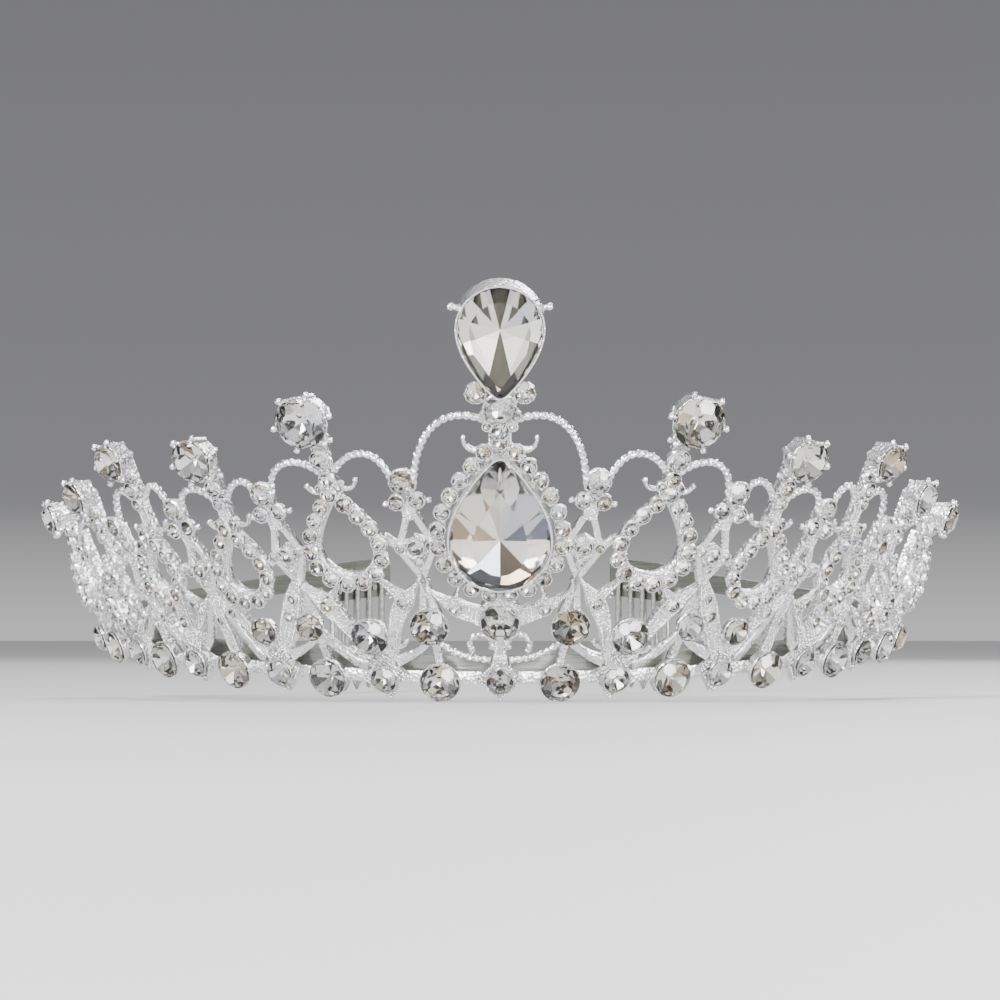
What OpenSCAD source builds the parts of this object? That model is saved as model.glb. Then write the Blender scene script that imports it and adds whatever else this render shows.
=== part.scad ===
// Rhinestone crown: an openwork cast front with eleven spires, set with round and pear-shaped
// stones, on a flat steel headband that ends in two wire combs.
//
// The crown is drawn round its band: Z is up the wearer's head, -Y is the front, and the band lies in
// the plane Z = 0. It is then tipped and lifted until it stands on its front stones and comb tips.

/* [Band] */
// Radius of the band at the back of the stones
band_r = 70.5; // [66:0.5:76]
// How far the front leans outward as it rises, degrees
flare = 18; // [10:1:24]
// Thickness of the cast openwork
plate_t = 1.6; // [1.2:0.1:2.4]
// Height of the plain bar between the base stones
bar_h = 2.0; // [1.5:0.1:3]
// Depth of that bar, front to back
bar_t = 1.4; // [1:0.1:2]

/* [Settings] */
// Wall of a stone's cup
cup_wall = 0.5; // [0.4:0.05:0.8]
// Gap between a stone and its cup
stone_gap = 0.12; // [0.08:0.01:0.2]
// Width of the small stones that run round the openings
halo_d = 3.0; // [2:0.1:3.5]
// Width of a thin rope arch
rope_w = 1.2; // [0.9:0.1:1.8]

/* [Headband] */
// Height of the steel strip
strip_h = 3.3; // [2.6:0.1:5]
// Thickness of the steel strip
strip_t = 0.7; // [0.5:0.1:1.2]
// Gap between the strip and the casting
strip_gap = 0.7; // [0.6:0.05:1]
// Straight length of each arm before its comb
arm_len = 36; // [28:1:42]
// Height of the end plate that carries the comb
end_plate_h = 7.0; // [6:0.5:9]

/* [Combs] */
// Thickness of the comb wire
wire_d = 1.0; // [0.8:0.1:1.4]
// Teeth in each comb
teeth = 5; // [4:1:6]
// Distance from one tooth to the next
tooth_pitch = 3.0; // [2.6:0.1:3.4]
// How far the tips hang below the band
tooth_drop = 20; // [14:1:26]

/* [Hidden] */
// azimuth, lean, ring height, hole width, hole height, neck height, neck stone, top height, top stone
SPIRES = [
    [18.7, 9.8, 25.3, 8.4, 12.4, 39.1, 3.9, 47.0, 8.6],
    [33.4, 11.3, 19.3, 5.9, 9.4, 33.0, 3.1, 38.9, 7.0],
    [47.6, 10.5, 17.3, 4.9, 8.1, 31.0, 2.9, 36.7, 6.2],
    [59.6, 6.5, 10.0, 4.6, 7.0, 22.8, 2.7, 28.2, 5.7],
    [74.2, 5.5, 10.3, 4.2, 5.4, 17.4, 2.4, 22.2, 5.2]
];
// azimuth, lean, base stone, lattice height, lattice half height, trefoil height, trefoil stone
LINKS = [
    [10.0, 7.0, 6.5, 23.3, 5.0, 35.4, 4.4],
    [26.7, 13.0, 6.4, 21.3, 4.6, 32.8, 3.9],
    [40.6, 13.5, 6.3, 17.1, 4.2, 28.5, 3.6],
    [53.5, 15.0, 6.2, 12.4, 3.2, 23.8, 3.2],
    [67.2, 15.5, 5.6, 10.0, 2.8, 20.5, 2.8]
];
// width of the stone low in the opening of each spire, its height, then the same for each link
MIDDLES = [
    [6.2, 8.0, 6.2, 10.0],
    [4.5, 7.5, 4.7, 9.1]
];
// half width of a lattice, and of the stone's pad inside it, as shares of the half height
LATTICE_SHARE = 0.46;
LATTICE_PAD = 0.41;
LOZENGE_D = 4.4;
LOZENGE_LOW = 3.6;
LOZENGE_HALF = 3.4;
SIDES = ["left", "right"];

// widths of the strokes that the openwork is drawn with, and the shape of its leaves and arches
LEAF_W = [1.4, 2.6, 0.9];
LEAF_BOW = 1.6;
LEAF_FOOT = 2.5;
TWIG_W = 1.0;
BRANCH_W = 1.6;
STEM_W = 2.6;
NECK_W = 3.2;
LATTICE_W = 0.9;
ARCH_RISE = 2.2;
BUD_D = 3.0;
BUD_DROP = 3.6;
END_TIP = [6, 7];
STONE_RIM = 0.5;

// the centre spire: heights above the lozenge, along the slant
CENTRE_STONE_B = 11.0;
CENTRE_STONE_D = 6.2;
PEAR_W = 16.4;
PEAR_H = 22.8;
PEAR_LOW = 17.4;
TOP_PEAR_W = 13.7;
TOP_PEAR_H = 18.8;
TOP_PEAR_LOW = 50.9;
COLLAR_B = 48.0;
COLLAR_D = 5.2;
CENTRE_NECK_W = 4.2;
CENTRE_LEAF_TIP = [11.2, 15.2];

// proportions of a cut stone, as shares of its width
CROWN_RISE = 0.16;
TABLE_SHARE = 0.56;
GIRDLE_SHARE = 0.04;
PAVILION_DEEP = 0.28;
CULET_SHARE = 0.24;
PEAR_SHALLOW = 0.6;
PEAR_GIRDLE = 0.45;
SEAT = 0.15;
ROUND_FN = 40;
CUP_FN = 8;
CUP_SINK = 0.5;
CUP_FLOOR = 0.05;
CLAW_REACH = 1.9;
CLAW_T = 0.7;
SPIRE_CUP_RAISE = 1.2;
CUP_LIP = 0.8;
CUP_UNDER = 0.15;

// the headband's plan: the strip follows the casting, bends back, and runs straight to the comb
strip_r = band_r - plate_t - strip_gap - strip_t / 2;
strip_z = 0.1;
END_PLATE_Z = 0.5;
BEND_START = 66;
SHOULDER_R = 38;
SHOULDER_TURN = 45;
ARM_R = 60;
ARM_TURN = 17;
PLATE_TURN = 15;
HOLE_GAP = 0.12;
HOLE_TOP = 2.1;
HOLE_LOW = -1.1;

// the comb wire: its gap to the plate, where a hairpin starts to close, and its rounded tip
WIRE_GAP = 0.15;
CLOSE_Z = -6;
WIRE_BEND = 0.6;
TIP_RISE = 1.6;
WIRE_SIDES = 5;

// the pose: the front base stones and the comb tips stand on one plane
front_d = LINKS[0][2];
front_az = LINKS[0][0] - foot_shift(LINKS[0], LINKS[0][3]) / band_r * 180 / PI;
front_n = girdle_top(front_d);
front_y = -(band_r - front_d / 2 * sin(flare) + front_n * cos(flare)) * cos(front_az);
front_z = -front_d / 2 * cos(flare) - front_n * sin(flare);
first_tip_y = arm_point(tooth_s(0))[1];
last_tip_y = arm_point(tooth_s(teeth - 1))[1];
rest_tilt = atan((front_z + tooth_drop) / (first_tip_y - front_y));
lift = -(front_y * sin(rest_tilt) + front_z * cos(rest_tilt));
top_n = pear_cup_h(TOP_PEAR_W);
top_b = TOP_PEAR_LOW + TOP_PEAR_H + stone_gap + cup_wall;
front_most = -(band_r + top_b * sin(flare) + top_n * cos(flare)) * cos(rest_tilt)
    - (top_b * cos(flare) - top_n * sin(flare)) * sin(rest_tilt);
back_most = (last_tip_y + wire_d) * cos(rest_tilt) + tooth_drop * sin(rest_tilt);
centre_y = -(front_most + back_most) / 2;

// Sizes of a setting
function girdle_n(d) = SEAT + PAVILION_DEEP * d;
function girdle_top(d) = girdle_n(d) + GIRDLE_SHARE * d;
function cup_h(d) = SEAT + PAVILION_DEEP * d * (CUP_LIP - CULET_SHARE) / (1 - CULET_SHARE) - CUP_UNDER;
function cup_inner(d) = CUP_LIP * d / 2 / cos(180 / CUP_FN);
function cup_outer(d) = cup_inner(d) + cup_wall;
function pear_deep(w) = PAVILION_DEEP * w * PEAR_SHALLOW;
function pear_cup_h(w) = SEAT + pear_deep(w) + PEAR_GIRDLE;
function foot_shift(row, height) = height * sin(row[1]);

// Curves in a plate: a point of a cubic curve, the curve itself, and a tapered band along it
function cubic(p, t) = (1 - t) ^ 3 * p[0] + 3 * (1 - t) ^ 2 * t * p[1]
    + 3 * (1 - t) * t ^ 2 * p[2] + t ^ 3 * p[3];
function curve(p, n) = [for (i = [0:n]) cubic(p, i / n)];
function unit(v) = v / max(norm(v), 0.001);
function across(path, i) = let(
    last = len(path) - 1,
    d = unit(path[min(i + 1, last)] - path[max(i - 1, 0)])
) [-d[1], d[0]];
function band_width(w, t) = t < 0.5 ? w[0] + (w[1] - w[0]) * 2 * t : w[1] + (w[2] - w[1]) * (2 * t - 1);
function ribbon(path, w) = let(last = len(path) - 1) concat(
    [for (i = [0:last]) path[i] + across(path, i) * band_width(w, i / last) / 2],
    [for (i = [last:-1:0]) path[i] - across(path, i) * band_width(w, i / last) / 2]
);

// A teardrop with its point up: a round base whose sides close to the tip
function drop(w, h, n, grow = 0) = [for (i = [0:n - 1]) let(
    t = 360 * i / n,
    x = sin(t) * (w / 2 + grow) * (1 - 0.42 * (1 + cos(t)) / 2 * (1 + cos(t)) / 2) * 1.06,
    y = cos(t) * (h / 2 + grow)
) [x, y]];

// Where a point of one column lies in the plate of another
function slant_r(v) = band_r + v * sin(flare);
function on_surface(row, foot, a, b) = let(
    s = a * cos(row[1]) + b * sin(row[1]) - foot,
    v = b * cos(row[1]) - a * sin(row[1])
) [row[0] + s / slant_r(v) * 180 / PI, v];
function in_plate(row, foot, point) = let(
    s = (point[0] - row[0]) * PI / 180 * slant_r(point[1]) + foot
) [s * cos(row[1]) - point[1] * sin(row[1]), s * sin(row[1]) + point[1] * cos(row[1])];
function link_foot(k) = foot_shift(LINKS[k], LINKS[k][3]);
function spire_foot(k) = foot_shift(SPIRES[k], SPIRES[k][2]);
function link_point(k, b) = on_surface(LINKS[k], link_foot(k), 0, b);
function arch_end(spire, link) = in_plate(SPIRES[spire], spire_foot(spire),
    link_point(link, LINKS[link][5] - 1.5));
function leaf_end(spire, link) = in_plate(SPIRES[spire], spire_foot(spire),
    link_point(link, LINKS[link][3] - LINKS[link][4]));

// The strip's plan: points and headings along one arm, from the front middle
function arm_front() = strip_r * BEND_START * PI / 180;
function arm_total() = arm_front() + SHOULDER_R * SHOULDER_TURN * PI / 180
    + ARM_R * ARM_TURN * PI / 180 + arm_len + plate_len();
function plate_len() = ARM_R * PLATE_TURN * PI / 180;
function turned(p, h, r, a) = p + r * [sin(h + a) - sin(h), cos(h) - cos(h + a)];
function bend_1() = [strip_r * sin(BEND_START), -strip_r * cos(BEND_START)];
function heading_2() = BEND_START + SHOULDER_TURN;
function bend_2() = turned(bend_1(), BEND_START, SHOULDER_R, SHOULDER_TURN);
function heading_3() = heading_2() + ARM_TURN;
function bend_3() = turned(bend_2(), heading_2(), ARM_R, ARM_TURN);
function bend_4() = bend_3() + arm_len * [cos(heading_3()), sin(heading_3())];
function arm_point(s) = let(
    s1 = s - arm_front(),
    s2 = s1 - SHOULDER_R * SHOULDER_TURN * PI / 180,
    s3 = s2 - ARM_R * ARM_TURN * PI / 180,
    s4 = s3 - arm_len
) s1 < 0 ? strip_r * [sin(s / strip_r * 180 / PI), -cos(s / strip_r * 180 / PI)]
    : s2 < 0 ? turned(bend_1(), BEND_START, SHOULDER_R, s1 / SHOULDER_R * 180 / PI)
    : s3 < 0 ? turned(bend_2(), heading_2(), ARM_R, s2 / ARM_R * 180 / PI)
    : s4 < 0 ? bend_3() + s3 * [cos(heading_3()), sin(heading_3())]
    : turned(bend_4(), heading_3(), ARM_R, s4 / ARM_R * 180 / PI);
function plate_heading(s) = heading_3() + (s - arm_total() + plate_len()) / ARM_R * 180 / PI;

// The standing pose of the whole crown
module standing() {
    translate([0, centre_y, lift]) rotate([rest_tilt, 0, 0]) children();
}

// The plate of a column: X runs along the band, Y up the slant, Z outward
module plate_at(row, foot, side = 1) {
    mirror([side < 0 ? 1 : 0, 0, 0])
        rotate([0, 0, row[0]])
            translate([0, -band_r, 0])
                rotate([90 + flare, 0, 0])
                    translate([-foot, 0, 0])
                        rotate([0, 0, -row[1]])
                            children();
}

module spire_at(k, side) {
    plate_at(SPIRES[k], spire_foot(k), side) children();
}

module link_at(k, side) {
    plate_at(LINKS[k], link_foot(k), side) children();
}

module centre_at() {
    plate_at([0, 0], 0) children();
}

// Stones
module round_stone(d) {
    g = girdle_n(d);
    rotate_extrude($fn = ROUND_FN)
        polygon([
            [0, SEAT],
            [d / 2 * CULET_SHARE, SEAT],
            [d / 2, g],
            [d / 2, g + GIRDLE_SHARE * d],
            [d / 2 * TABLE_SHARE, g + (GIRDLE_SHARE + CROWN_RISE) * d],
            [0, g + (GIRDLE_SHARE + CROWN_RISE) * d]
        ]);
}

module pear_outline(w, h, grow = 0) {
    polygon(drop(w, h, 20, grow));
}

module pear_stone(w, h, rise) {
    deep = pear_deep(w);
    hull() {
        translate([0, 0, SEAT]) linear_extrude(0.1) scale(0.4) pear_outline(w, h);
        translate([0, 0, SEAT + deep]) linear_extrude(PEAR_GIRDLE) pear_outline(w, h);
        translate([0, 0, SEAT + deep + rise]) linear_extrude(0.1) scale(0.6) pear_outline(w, h);
    }
}

// Settings
module cup(d, raise = 0) {
    h = cup_h(d) + raise;
    difference() {
        translate([0, 0, -CUP_SINK]) cylinder(h = h + CUP_SINK, r = cup_outer(d), $fn = CUP_FN);
        translate([0, 0, raise + CUP_FLOOR]) cylinder(h = h, r = cup_inner(d), $fn = CUP_FN);
    }
}

module claws(d, raise) {
    inner = cup_inner(d) + cup_wall * 0.4;
    root = inner + cup_wall * 0.4;
    tip = d / 2 + CLAW_REACH;
    translate([0, 0, cup_h(d) + raise - CLAW_T - 0.1])
        linear_extrude(CLAW_T)
            difference() {
                polygon([for (i = [0:11]) let(
                    out = i % 2 == 0,
                    a = 30 * i + (out ? -5 : 0)
                ) (out ? tip : root) * [cos(a), sin(a)]]);
                circle(r = inner, $fn = CUP_FN);
            }
}

module lozenge_setting() {
    difference() {
        translate([0, 0, -CUP_SINK]) linear_extrude(girdle_top(LOZENGE_D) + CUP_SINK)
            scale(0.94) lozenge_outline();
        translate([0, 0, CUP_FLOOR])
            cylinder(h = 3, r = (LOZENGE_D / 2 + stone_gap) / cos(30), $fn = 6);
    }
}

module pear_cup(w, h) {
    deep = pear_cup_h(w);
    difference() {
        translate([0, 0, -CUP_SINK]) linear_extrude(deep + CUP_SINK)
            pear_outline(w, h, stone_gap + cup_wall);
        translate([0, 0, CUP_FLOOR]) linear_extrude(deep + 1) pear_outline(w, h, stone_gap);
    }
}

// Outlines of the openwork, in the plane of a plate
module leaf(root, tip, bow = LEAF_BOW) {
    mid = (root + tip) / 2;
    belly = mid + [sign(tip[0]) * bow, -bow * 0.4];
    polygon(ribbon(curve([root, mid * 0.75, belly, tip], 3), LEAF_W));
}

module arch(root, tip, rise) {
    reach = tip[0] - root[0];
    polygon(ribbon(curve([
        root,
        root + [reach * 0.35, rise],
        [root[0] + reach * 0.95, root[1] + rise],
        tip
    ], 3), [rope_w, rope_w, rope_w]));
}

module bar(p, q, w) {
    hull() {
        translate(p) circle(d = w, $fn = 4);
        translate(q) circle(d = w, $fn = 4);
    }
}

module lozenge_outline() {
    polygon([[0, -LOZENGE_LOW], [LOZENGE_HALF, 0], [0, LOZENGE_HALF], [-LOZENGE_HALF, 0]]);
}

module spire_outline(k) {
    row = SPIRES[k];
    ring_b = row[2];
    ring_low = ring_b - row[4] / 2 - halo_d;
    in_leaf = leaf_end(k, k);
    in_arch = arch_end(k, k);
    lozenge_outline();
    difference() {
        union() {
            translate([0, ring_b + 0.5]) polygon(drop(row[3], row[4] + 1, 12, halo_d));
            bar([0, ring_b + row[4] / 2 + 1], [0, row[7]], NECK_W);
            translate([0, row[5]]) circle(d = row[6] + STONE_RIM, $fn = CUP_FN);
            leaf([-1, LEAF_FOOT], in_leaf);
            bar(in_leaf * 0.62, [-row[3] * 0.45, ring_low + 2], BRANCH_W);
            arch([-1.2, row[5] - 1.5], in_arch, ARCH_RISE);
            if (k < 4) {
                leaf([1, LEAF_FOOT], leaf_end(k, k + 1));
                bar(leaf_end(k, k + 1) * 0.62, [row[3] * 0.45, ring_low + 2], BRANCH_W);
                arch([1.2, row[5] - 1.5], arch_end(k, k + 1), ARCH_RISE);
            } else {
                arch([1.2, row[5] - 1.5], END_TIP, ARCH_RISE * 0.7);
                bar([1, LEAF_FOOT], END_TIP, BRANCH_W);
            }
            if (k < 2) {
                bar([0, 2], [0, MIDDLES[k][1]], BRANCH_W);
                bar([1.5, 3.6], [4.6, 5.6], TWIG_W);
                bar([-1.5, 3.6], [-4.6, 5.6], TWIG_W);
            }
        }
        translate([0, ring_b]) polygon(drop(row[3], row[4], 12));
    }
    if (k > 1) bar([0, 2], [0, ring_low + 1.5], STEM_W);
}

module link_outline(k) {
    row = LINKS[k];
    low = row[3] - row[4];
    high = row[3] + row[4];
    half = row[4] * LATTICE_SHARE;
    for (x = [-half, half]) {
        bar([0, low], [x, row[3]], LATTICE_W);
        bar([x, row[3]], [0, high], LATTICE_W);
    }
    translate([0, row[3]]) circle(r = row[4] * LATTICE_PAD, $fn = CUP_FN);
    bar([0, high], [0, row[5]], STEM_W);
    for (x = [-1, 1] * BUD_D * 0.53) translate([x, row[5] - BUD_DROP]) circle(d = BUD_D, $fn = 6);
    translate([0, row[5]]) circle(d = row[6] + STONE_RIM, $fn = CUP_FN);
    bar([0, low], [0, 4], LEAF_W[0]);
    bar([-2.2, 2], [0, low * 0.75], TWIG_W);
    bar([2.2, 2], [0, low * 0.75], TWIG_W);
}

module centre_outline() {
    halo_mid = PEAR_LOW + PEAR_H / 2;
    lozenge_outline();
    bar([0, 2], [0, CENTRE_STONE_B], BRANCH_W);
    bar([0, CENTRE_STONE_B], [0, PEAR_LOW], STEM_W);
    translate([0, halo_mid + 0.6]) polygon(drop(PEAR_W, PEAR_H + 1, 20, halo_d));
    bar([0, PEAR_LOW + PEAR_H], [0, TOP_PEAR_LOW + 4], CENTRE_NECK_W);
    for (side = [-1, 1]) {
        to_link = link_point(0, LINKS[0][5] - 2.2);
        leaf_tip = [side * CENTRE_LEAF_TIP[0], CENTRE_LEAF_TIP[1]];
        polygon(ribbon(curve([
            [side * 1.5, 3],
            [side * 4.5, 2.4],
            [side * 7.5, 3.2],
            [side * 9.6, 6.4]
        ], 4), [rope_w, rope_w, rope_w]));
        polygon(ribbon(curve([
            [side * 0.8, 8],
            [side * 3, 9.2],
            [side * 5.2, 7],
            [side * 4.4, 4.6]
        ], 4), [TWIG_W, TWIG_W, TWIG_W]));
        leaf([side * 2, 9.6], leaf_tip, LEAF_BOW * 0.75);
        bar([side * 5.2, 12.4], [side * 6.4, 16.4], BRANCH_W);
        arch([side * 2, 45], [side * to_link[0] * PI / 180 * slant_r(to_link[1]), to_link[1]],
            ARCH_RISE * 1.2);
        bar([side * 2, 41.5], [side * 6, 43.2], TWIG_W);
    }
}

module base_bar() {
    steps = 24;
    reach = 75;
    polygon(concat(
        [for (i = [0:steps]) let(t = -reach + 2 * reach * i / steps)
            (band_r - plate_t + bar_t) * [sin(t), -cos(t)]],
        [for (i = [steps:-1:0]) let(t = -reach + 2 * reach * i / steps)
            (band_r - plate_t) * [sin(t), -cos(t)]]
    ));
}

module side_of_frame(side) {
    for (k = [0:4]) {
        spire_at(k, side) {
            translate([0, 0, -plate_t]) linear_extrude(plate_t) spire_outline(k);
            lozenge_setting();
            translate([0, SPIRES[k][7], 0]) cup(SPIRES[k][8], SPIRE_CUP_RAISE);
            translate([0, SPIRES[k][7], 0]) claws(SPIRES[k][8], SPIRE_CUP_RAISE);
        }
        link_at(k, side) {
            translate([0, 0, -plate_t]) linear_extrude(plate_t) link_outline(k);
            cup(LINKS[k][2]);
        }
    }
    for (k = [0:1]) {
        spire_at(k, side) translate([0, MIDDLES[k][1], 0]) cup(MIDDLES[k][0]);
        link_at(k, side) translate([0, MIDDLES[k][3], 0]) cup(MIDDLES[k][2]);
    }
}

module crown_frame() {
    color("silver") standing() {
        translate([0, 0, -bar_h / 2]) linear_extrude(bar_h) base_bar();
        side_of_frame(-1);
        side_of_frame(1);
        centre_at() {
            translate([0, 0, -plate_t]) linear_extrude(plate_t) centre_outline();
            lozenge_setting();
            translate([0, CENTRE_STONE_B, 0]) cup(CENTRE_STONE_D);
            translate([0, COLLAR_B, -CUP_SINK]) cylinder(h = CUP_SINK + 1, d = COLLAR_D, $fn = CUP_FN);
            translate([0, PEAR_LOW + PEAR_H / 2, 0]) pear_cup(PEAR_W, PEAR_H);
            translate([0, TOP_PEAR_LOW + TOP_PEAR_H / 2, 0])
                rotate([0, 0, 180])
                    pear_cup(TOP_PEAR_W, TOP_PEAR_H);
        }
    }
}

// The steel strip
module strip_plan(from, to, n) {
    pts = [for (i = [0:n]) arm_point(from + (to - from) * i / n)];
    polygon(ribbon(pts, [strip_t, strip_t, strip_t]));
}

module end_plate(side) {
    start = arm_total() - plate_len() - 1;
    mirror([side < 0 ? 1 : 0, 0, 0])
        difference() {
            translate([0, 0, END_PLATE_Z - end_plate_h / 2])
                linear_extrude(end_plate_h) strip_plan(start, arm_total(), 4);
            for (i = [0:teeth - 1]) {
                lacing_hole(tooth_s(i) - tooth_pitch * 0.25, HOLE_TOP);
                lacing_hole(tooth_s(i) + tooth_pitch * 0.25, HOLE_LOW);
            }
        }
}

function tooth_s(i) = arm_total() - plate_len() / 2 + (i - (teeth - 1) / 2) * tooth_pitch;

module lacing_hole(s, z) {
    p = arm_point(s);
    translate([p[0], p[1], z])
        rotate([0, 0, plate_heading(s)])
            rotate([90, 0, 0])
                cylinder(h = 4, d = wire_d + 2 * HOLE_GAP, center = true, $fn = 24);
}

module arm(side) {
    mirror([side < 0 ? 1 : 0, 0, 0])
        translate([0, 0, strip_z])
            linear_extrude(strip_h) strip_plan(0, arm_total() - plate_len(), 48);
}

module headband() {
    color([0.35, 0.36, 0.32]) standing() {
        for (side = [-1, 1]) {
            arm(side);
            end_plate(side);
        }
    }
}

// The combs: each tooth is a hairpin whose ends pass through the end plate
function tooth_path(i) = let(
    s = tooth_s(i),
    back = arm_point(s - tooth_pitch * 0.25),
    fore = arm_point(s + tooth_pitch * 0.25),
    h = plate_heading(s),
    outward = [sin(h), -cos(h)],
    off = strip_t / 2 + wire_d / 2 + WIRE_GAP,
    p_in = back - outward * off,
    p_out = fore + outward * off,
    low = arm_point(s)
) [
    [back[0] + outward[0] * off, back[1] + outward[1] * off, HOLE_TOP],
    [p_in[0], p_in[1], HOLE_TOP],
    [p_in[0], p_in[1], HOLE_TOP - WIRE_BEND],
    [p_in[0], p_in[1], CLOSE_Z],
    [low[0] - outward[0] * WIRE_BEND, low[1] - outward[1] * WIRE_BEND, -tooth_drop + TIP_RISE],
    [low[0], low[1], -tooth_drop + wire_d / 2],
    [low[0] + outward[0] * WIRE_BEND, low[1] + outward[1] * WIRE_BEND, -tooth_drop + TIP_RISE],
    [p_out[0], p_out[1], CLOSE_Z],
    [p_out[0], p_out[1], HOLE_LOW - WIRE_BEND],
    [p_out[0], p_out[1], HOLE_LOW],
    [fore[0] - outward[0] * off, fore[1] - outward[1] * off, HOLE_LOW]
];

function along(path, i) = let(last = len(path) - 1)
    unit(unit(path[min(i + 1, last)] - path[min(i, last - 1)])
        + unit(path[max(i, 1)] - path[max(i - 1, 0)]));

module wire(path, d) {
    sides = WIRE_SIDES;
    last = len(path) - 1;
    side_way = unit(cross(path[3] - path[2], path[1] - path[0]));
    rings = [for (i = [0:last]) let(
        t = along(path, i),
        u = unit(side_way - t * (side_way * t)),
        v = cross(t, u)
    ) for (j = [0:sides - 1]) path[i] + (u * cos(360 * j / sides) + v * sin(360 * j / sides)) * d / 2];
    polyhedron(
        points = rings,
        faces = concat(
            [[for (j = [0:sides - 1]) j]],
            [for (i = [0:last - 1]) for (j = [0:sides - 1]) [
                i * sides + j,
                (i + 1) * sides + j,
                (i + 1) * sides + (j + 1) % sides,
                i * sides + (j + 1) % sides
            ]],
            [[for (j = [sides - 1:-1:0]) last * sides + j]]
        )
    );
}

module comb(side) {
    color("lightgray") standing()
        mirror([side < 0 ? 1 : 0, 0, 0])
            for (i = [0:teeth - 1]) wire(tooth_path(i), wire_d);
}

// Stones in their places
module stone_on_spire(k, side, b, d, raise = 0) {
    color("white") standing() spire_at(k - 1, side) translate([0, b, raise]) round_stone(d);
}

module stone_on_link(k, side, b, d) {
    color("white") standing() link_at(k - 1, side) translate([0, b, 0]) round_stone(d);
}

module centre_pear() {
    color("white") standing() centre_at()
        translate([0, PEAR_LOW + PEAR_H / 2, 0]) pear_stone(PEAR_W, PEAR_H, 2.4);
}

module top_pear() {
    color("white") standing() centre_at()
        translate([0, TOP_PEAR_LOW + TOP_PEAR_H / 2, 0]) rotate([0, 0, 180])
            pear_stone(TOP_PEAR_W, TOP_PEAR_H, 2.2);
}

module centre_stone(b, d) {
    color("white") standing() centre_at() translate([0, b, 0]) round_stone(d);
}

crown_frame();
headband();
comb(-1);  // comb_left
comb(1);  // comb_right
centre_pear();
top_pear();
centre_stone(0, LOZENGE_D);  // centre_lozenge_stone
centre_stone(CENTRE_STONE_B, CENTRE_STONE_D);  // centre_navette_stone
for (s = [0:1]) for (k = [1:5]) {
    stone_on_spire(k, 2 * s - 1, SPIRES[k - 1][7], SPIRES[k - 1][8], SPIRE_CUP_RAISE);
    stone_on_link(k, 2 * s - 1, 0, LINKS[k - 1][2]);
    stone_on_spire(k, 2 * s - 1, 0, LOZENGE_D);
}
for (s = [0:1]) for (k = [1:2]) {
    stone_on_spire(k, 2 * s - 1, MIDDLES[k - 1][1], MIDDLES[k - 1][0]);
    stone_on_link(k, 2 * s - 1, MIDDLES[k - 1][3], MIDDLES[k - 1][2]);
}
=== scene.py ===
import bpy
import bmesh
import math
import random
from mathutils import Matrix, Vector
from mathutils.geometry import intersect_line_line_2d


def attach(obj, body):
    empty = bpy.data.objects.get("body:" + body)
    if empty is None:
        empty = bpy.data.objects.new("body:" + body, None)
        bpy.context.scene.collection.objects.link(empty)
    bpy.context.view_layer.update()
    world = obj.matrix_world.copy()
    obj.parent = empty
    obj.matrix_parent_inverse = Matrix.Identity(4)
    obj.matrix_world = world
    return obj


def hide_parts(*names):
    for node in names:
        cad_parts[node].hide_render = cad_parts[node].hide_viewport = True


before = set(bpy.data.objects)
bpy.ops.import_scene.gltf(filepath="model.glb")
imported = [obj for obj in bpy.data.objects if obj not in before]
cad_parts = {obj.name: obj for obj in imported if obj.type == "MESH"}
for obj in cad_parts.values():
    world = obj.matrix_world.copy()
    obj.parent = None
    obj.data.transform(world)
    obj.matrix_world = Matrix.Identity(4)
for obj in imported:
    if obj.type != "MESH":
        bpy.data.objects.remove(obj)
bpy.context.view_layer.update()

# Sizes are in millimetres until a piece is put in its place, and angles in degrees.
mm = 0.001

# The cast front stands on a cone that flares upwards from its foot
band = {
    "radius": 70.5,
    "flare": 18.0,
    "plate": 1.6,
    "barHeight": 2.0,
    "barDepth": 1.4,
    "barReach": 75.0,
}

# The steel band behind it, bent at the shoulders and swept on to the end plates
strip = {
    "gap": 0.7,
    "thick": 0.7,
    "bendStart": 66.0,
    "shoulderRadius": 38.0,
    "shoulderTurn": 45.0,
    "armRadius": 60.0,
    "armTurn": 17.0,
    "armLength": 36.0,
    "plateTurn": 15.0,
}

# Wire combs, laced through the end plates
comb = {
    "teeth": 5,
    "pitch": 3.0,
    "drop": 20.0,
    "wire": 1.0,
    "holeTop": 2.1,
    "holeLow": -1.1,
    "gap": 0.1,
    "bend": 0.6,
    "tipRise": 1.6,
    "sides": 12,
}

# Seats and cuts of the stones; pavilion, girdle, crown and table are shares of a stone's size
setting = {
    "seat": 0.15,
    "pavilion": 0.28,
    "girdle": 0.04,
    "crown": 0.16,
    "table": 0.56,
    "gap": 0.12,
    "wall": 0.5,
    "spireRaise": 1.2,
    "clawReach": 1.9,
    "pearShallow": 0.6,
    "pearGirdle": 0.45,
    "lozengeStone": 4.4,
    "lozengeHalf": 3.9,
    "lozengeLow": 3.8,
}

# The middle column, from the band up
centre = {
    "stoneHeight": 11.0,
    "stone": 6.2,
    "pearWidth": 16.4,
    "pearHeight": 22.8,
    "pearLow": 17.4,
    "topWidth": 13.7,
    "topHeight": 18.8,
    "topLow": 50.9,
    "collarHeight": 48.0,
    "collar": 5.2,
    "pearPoint": 0.62,
}

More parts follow.
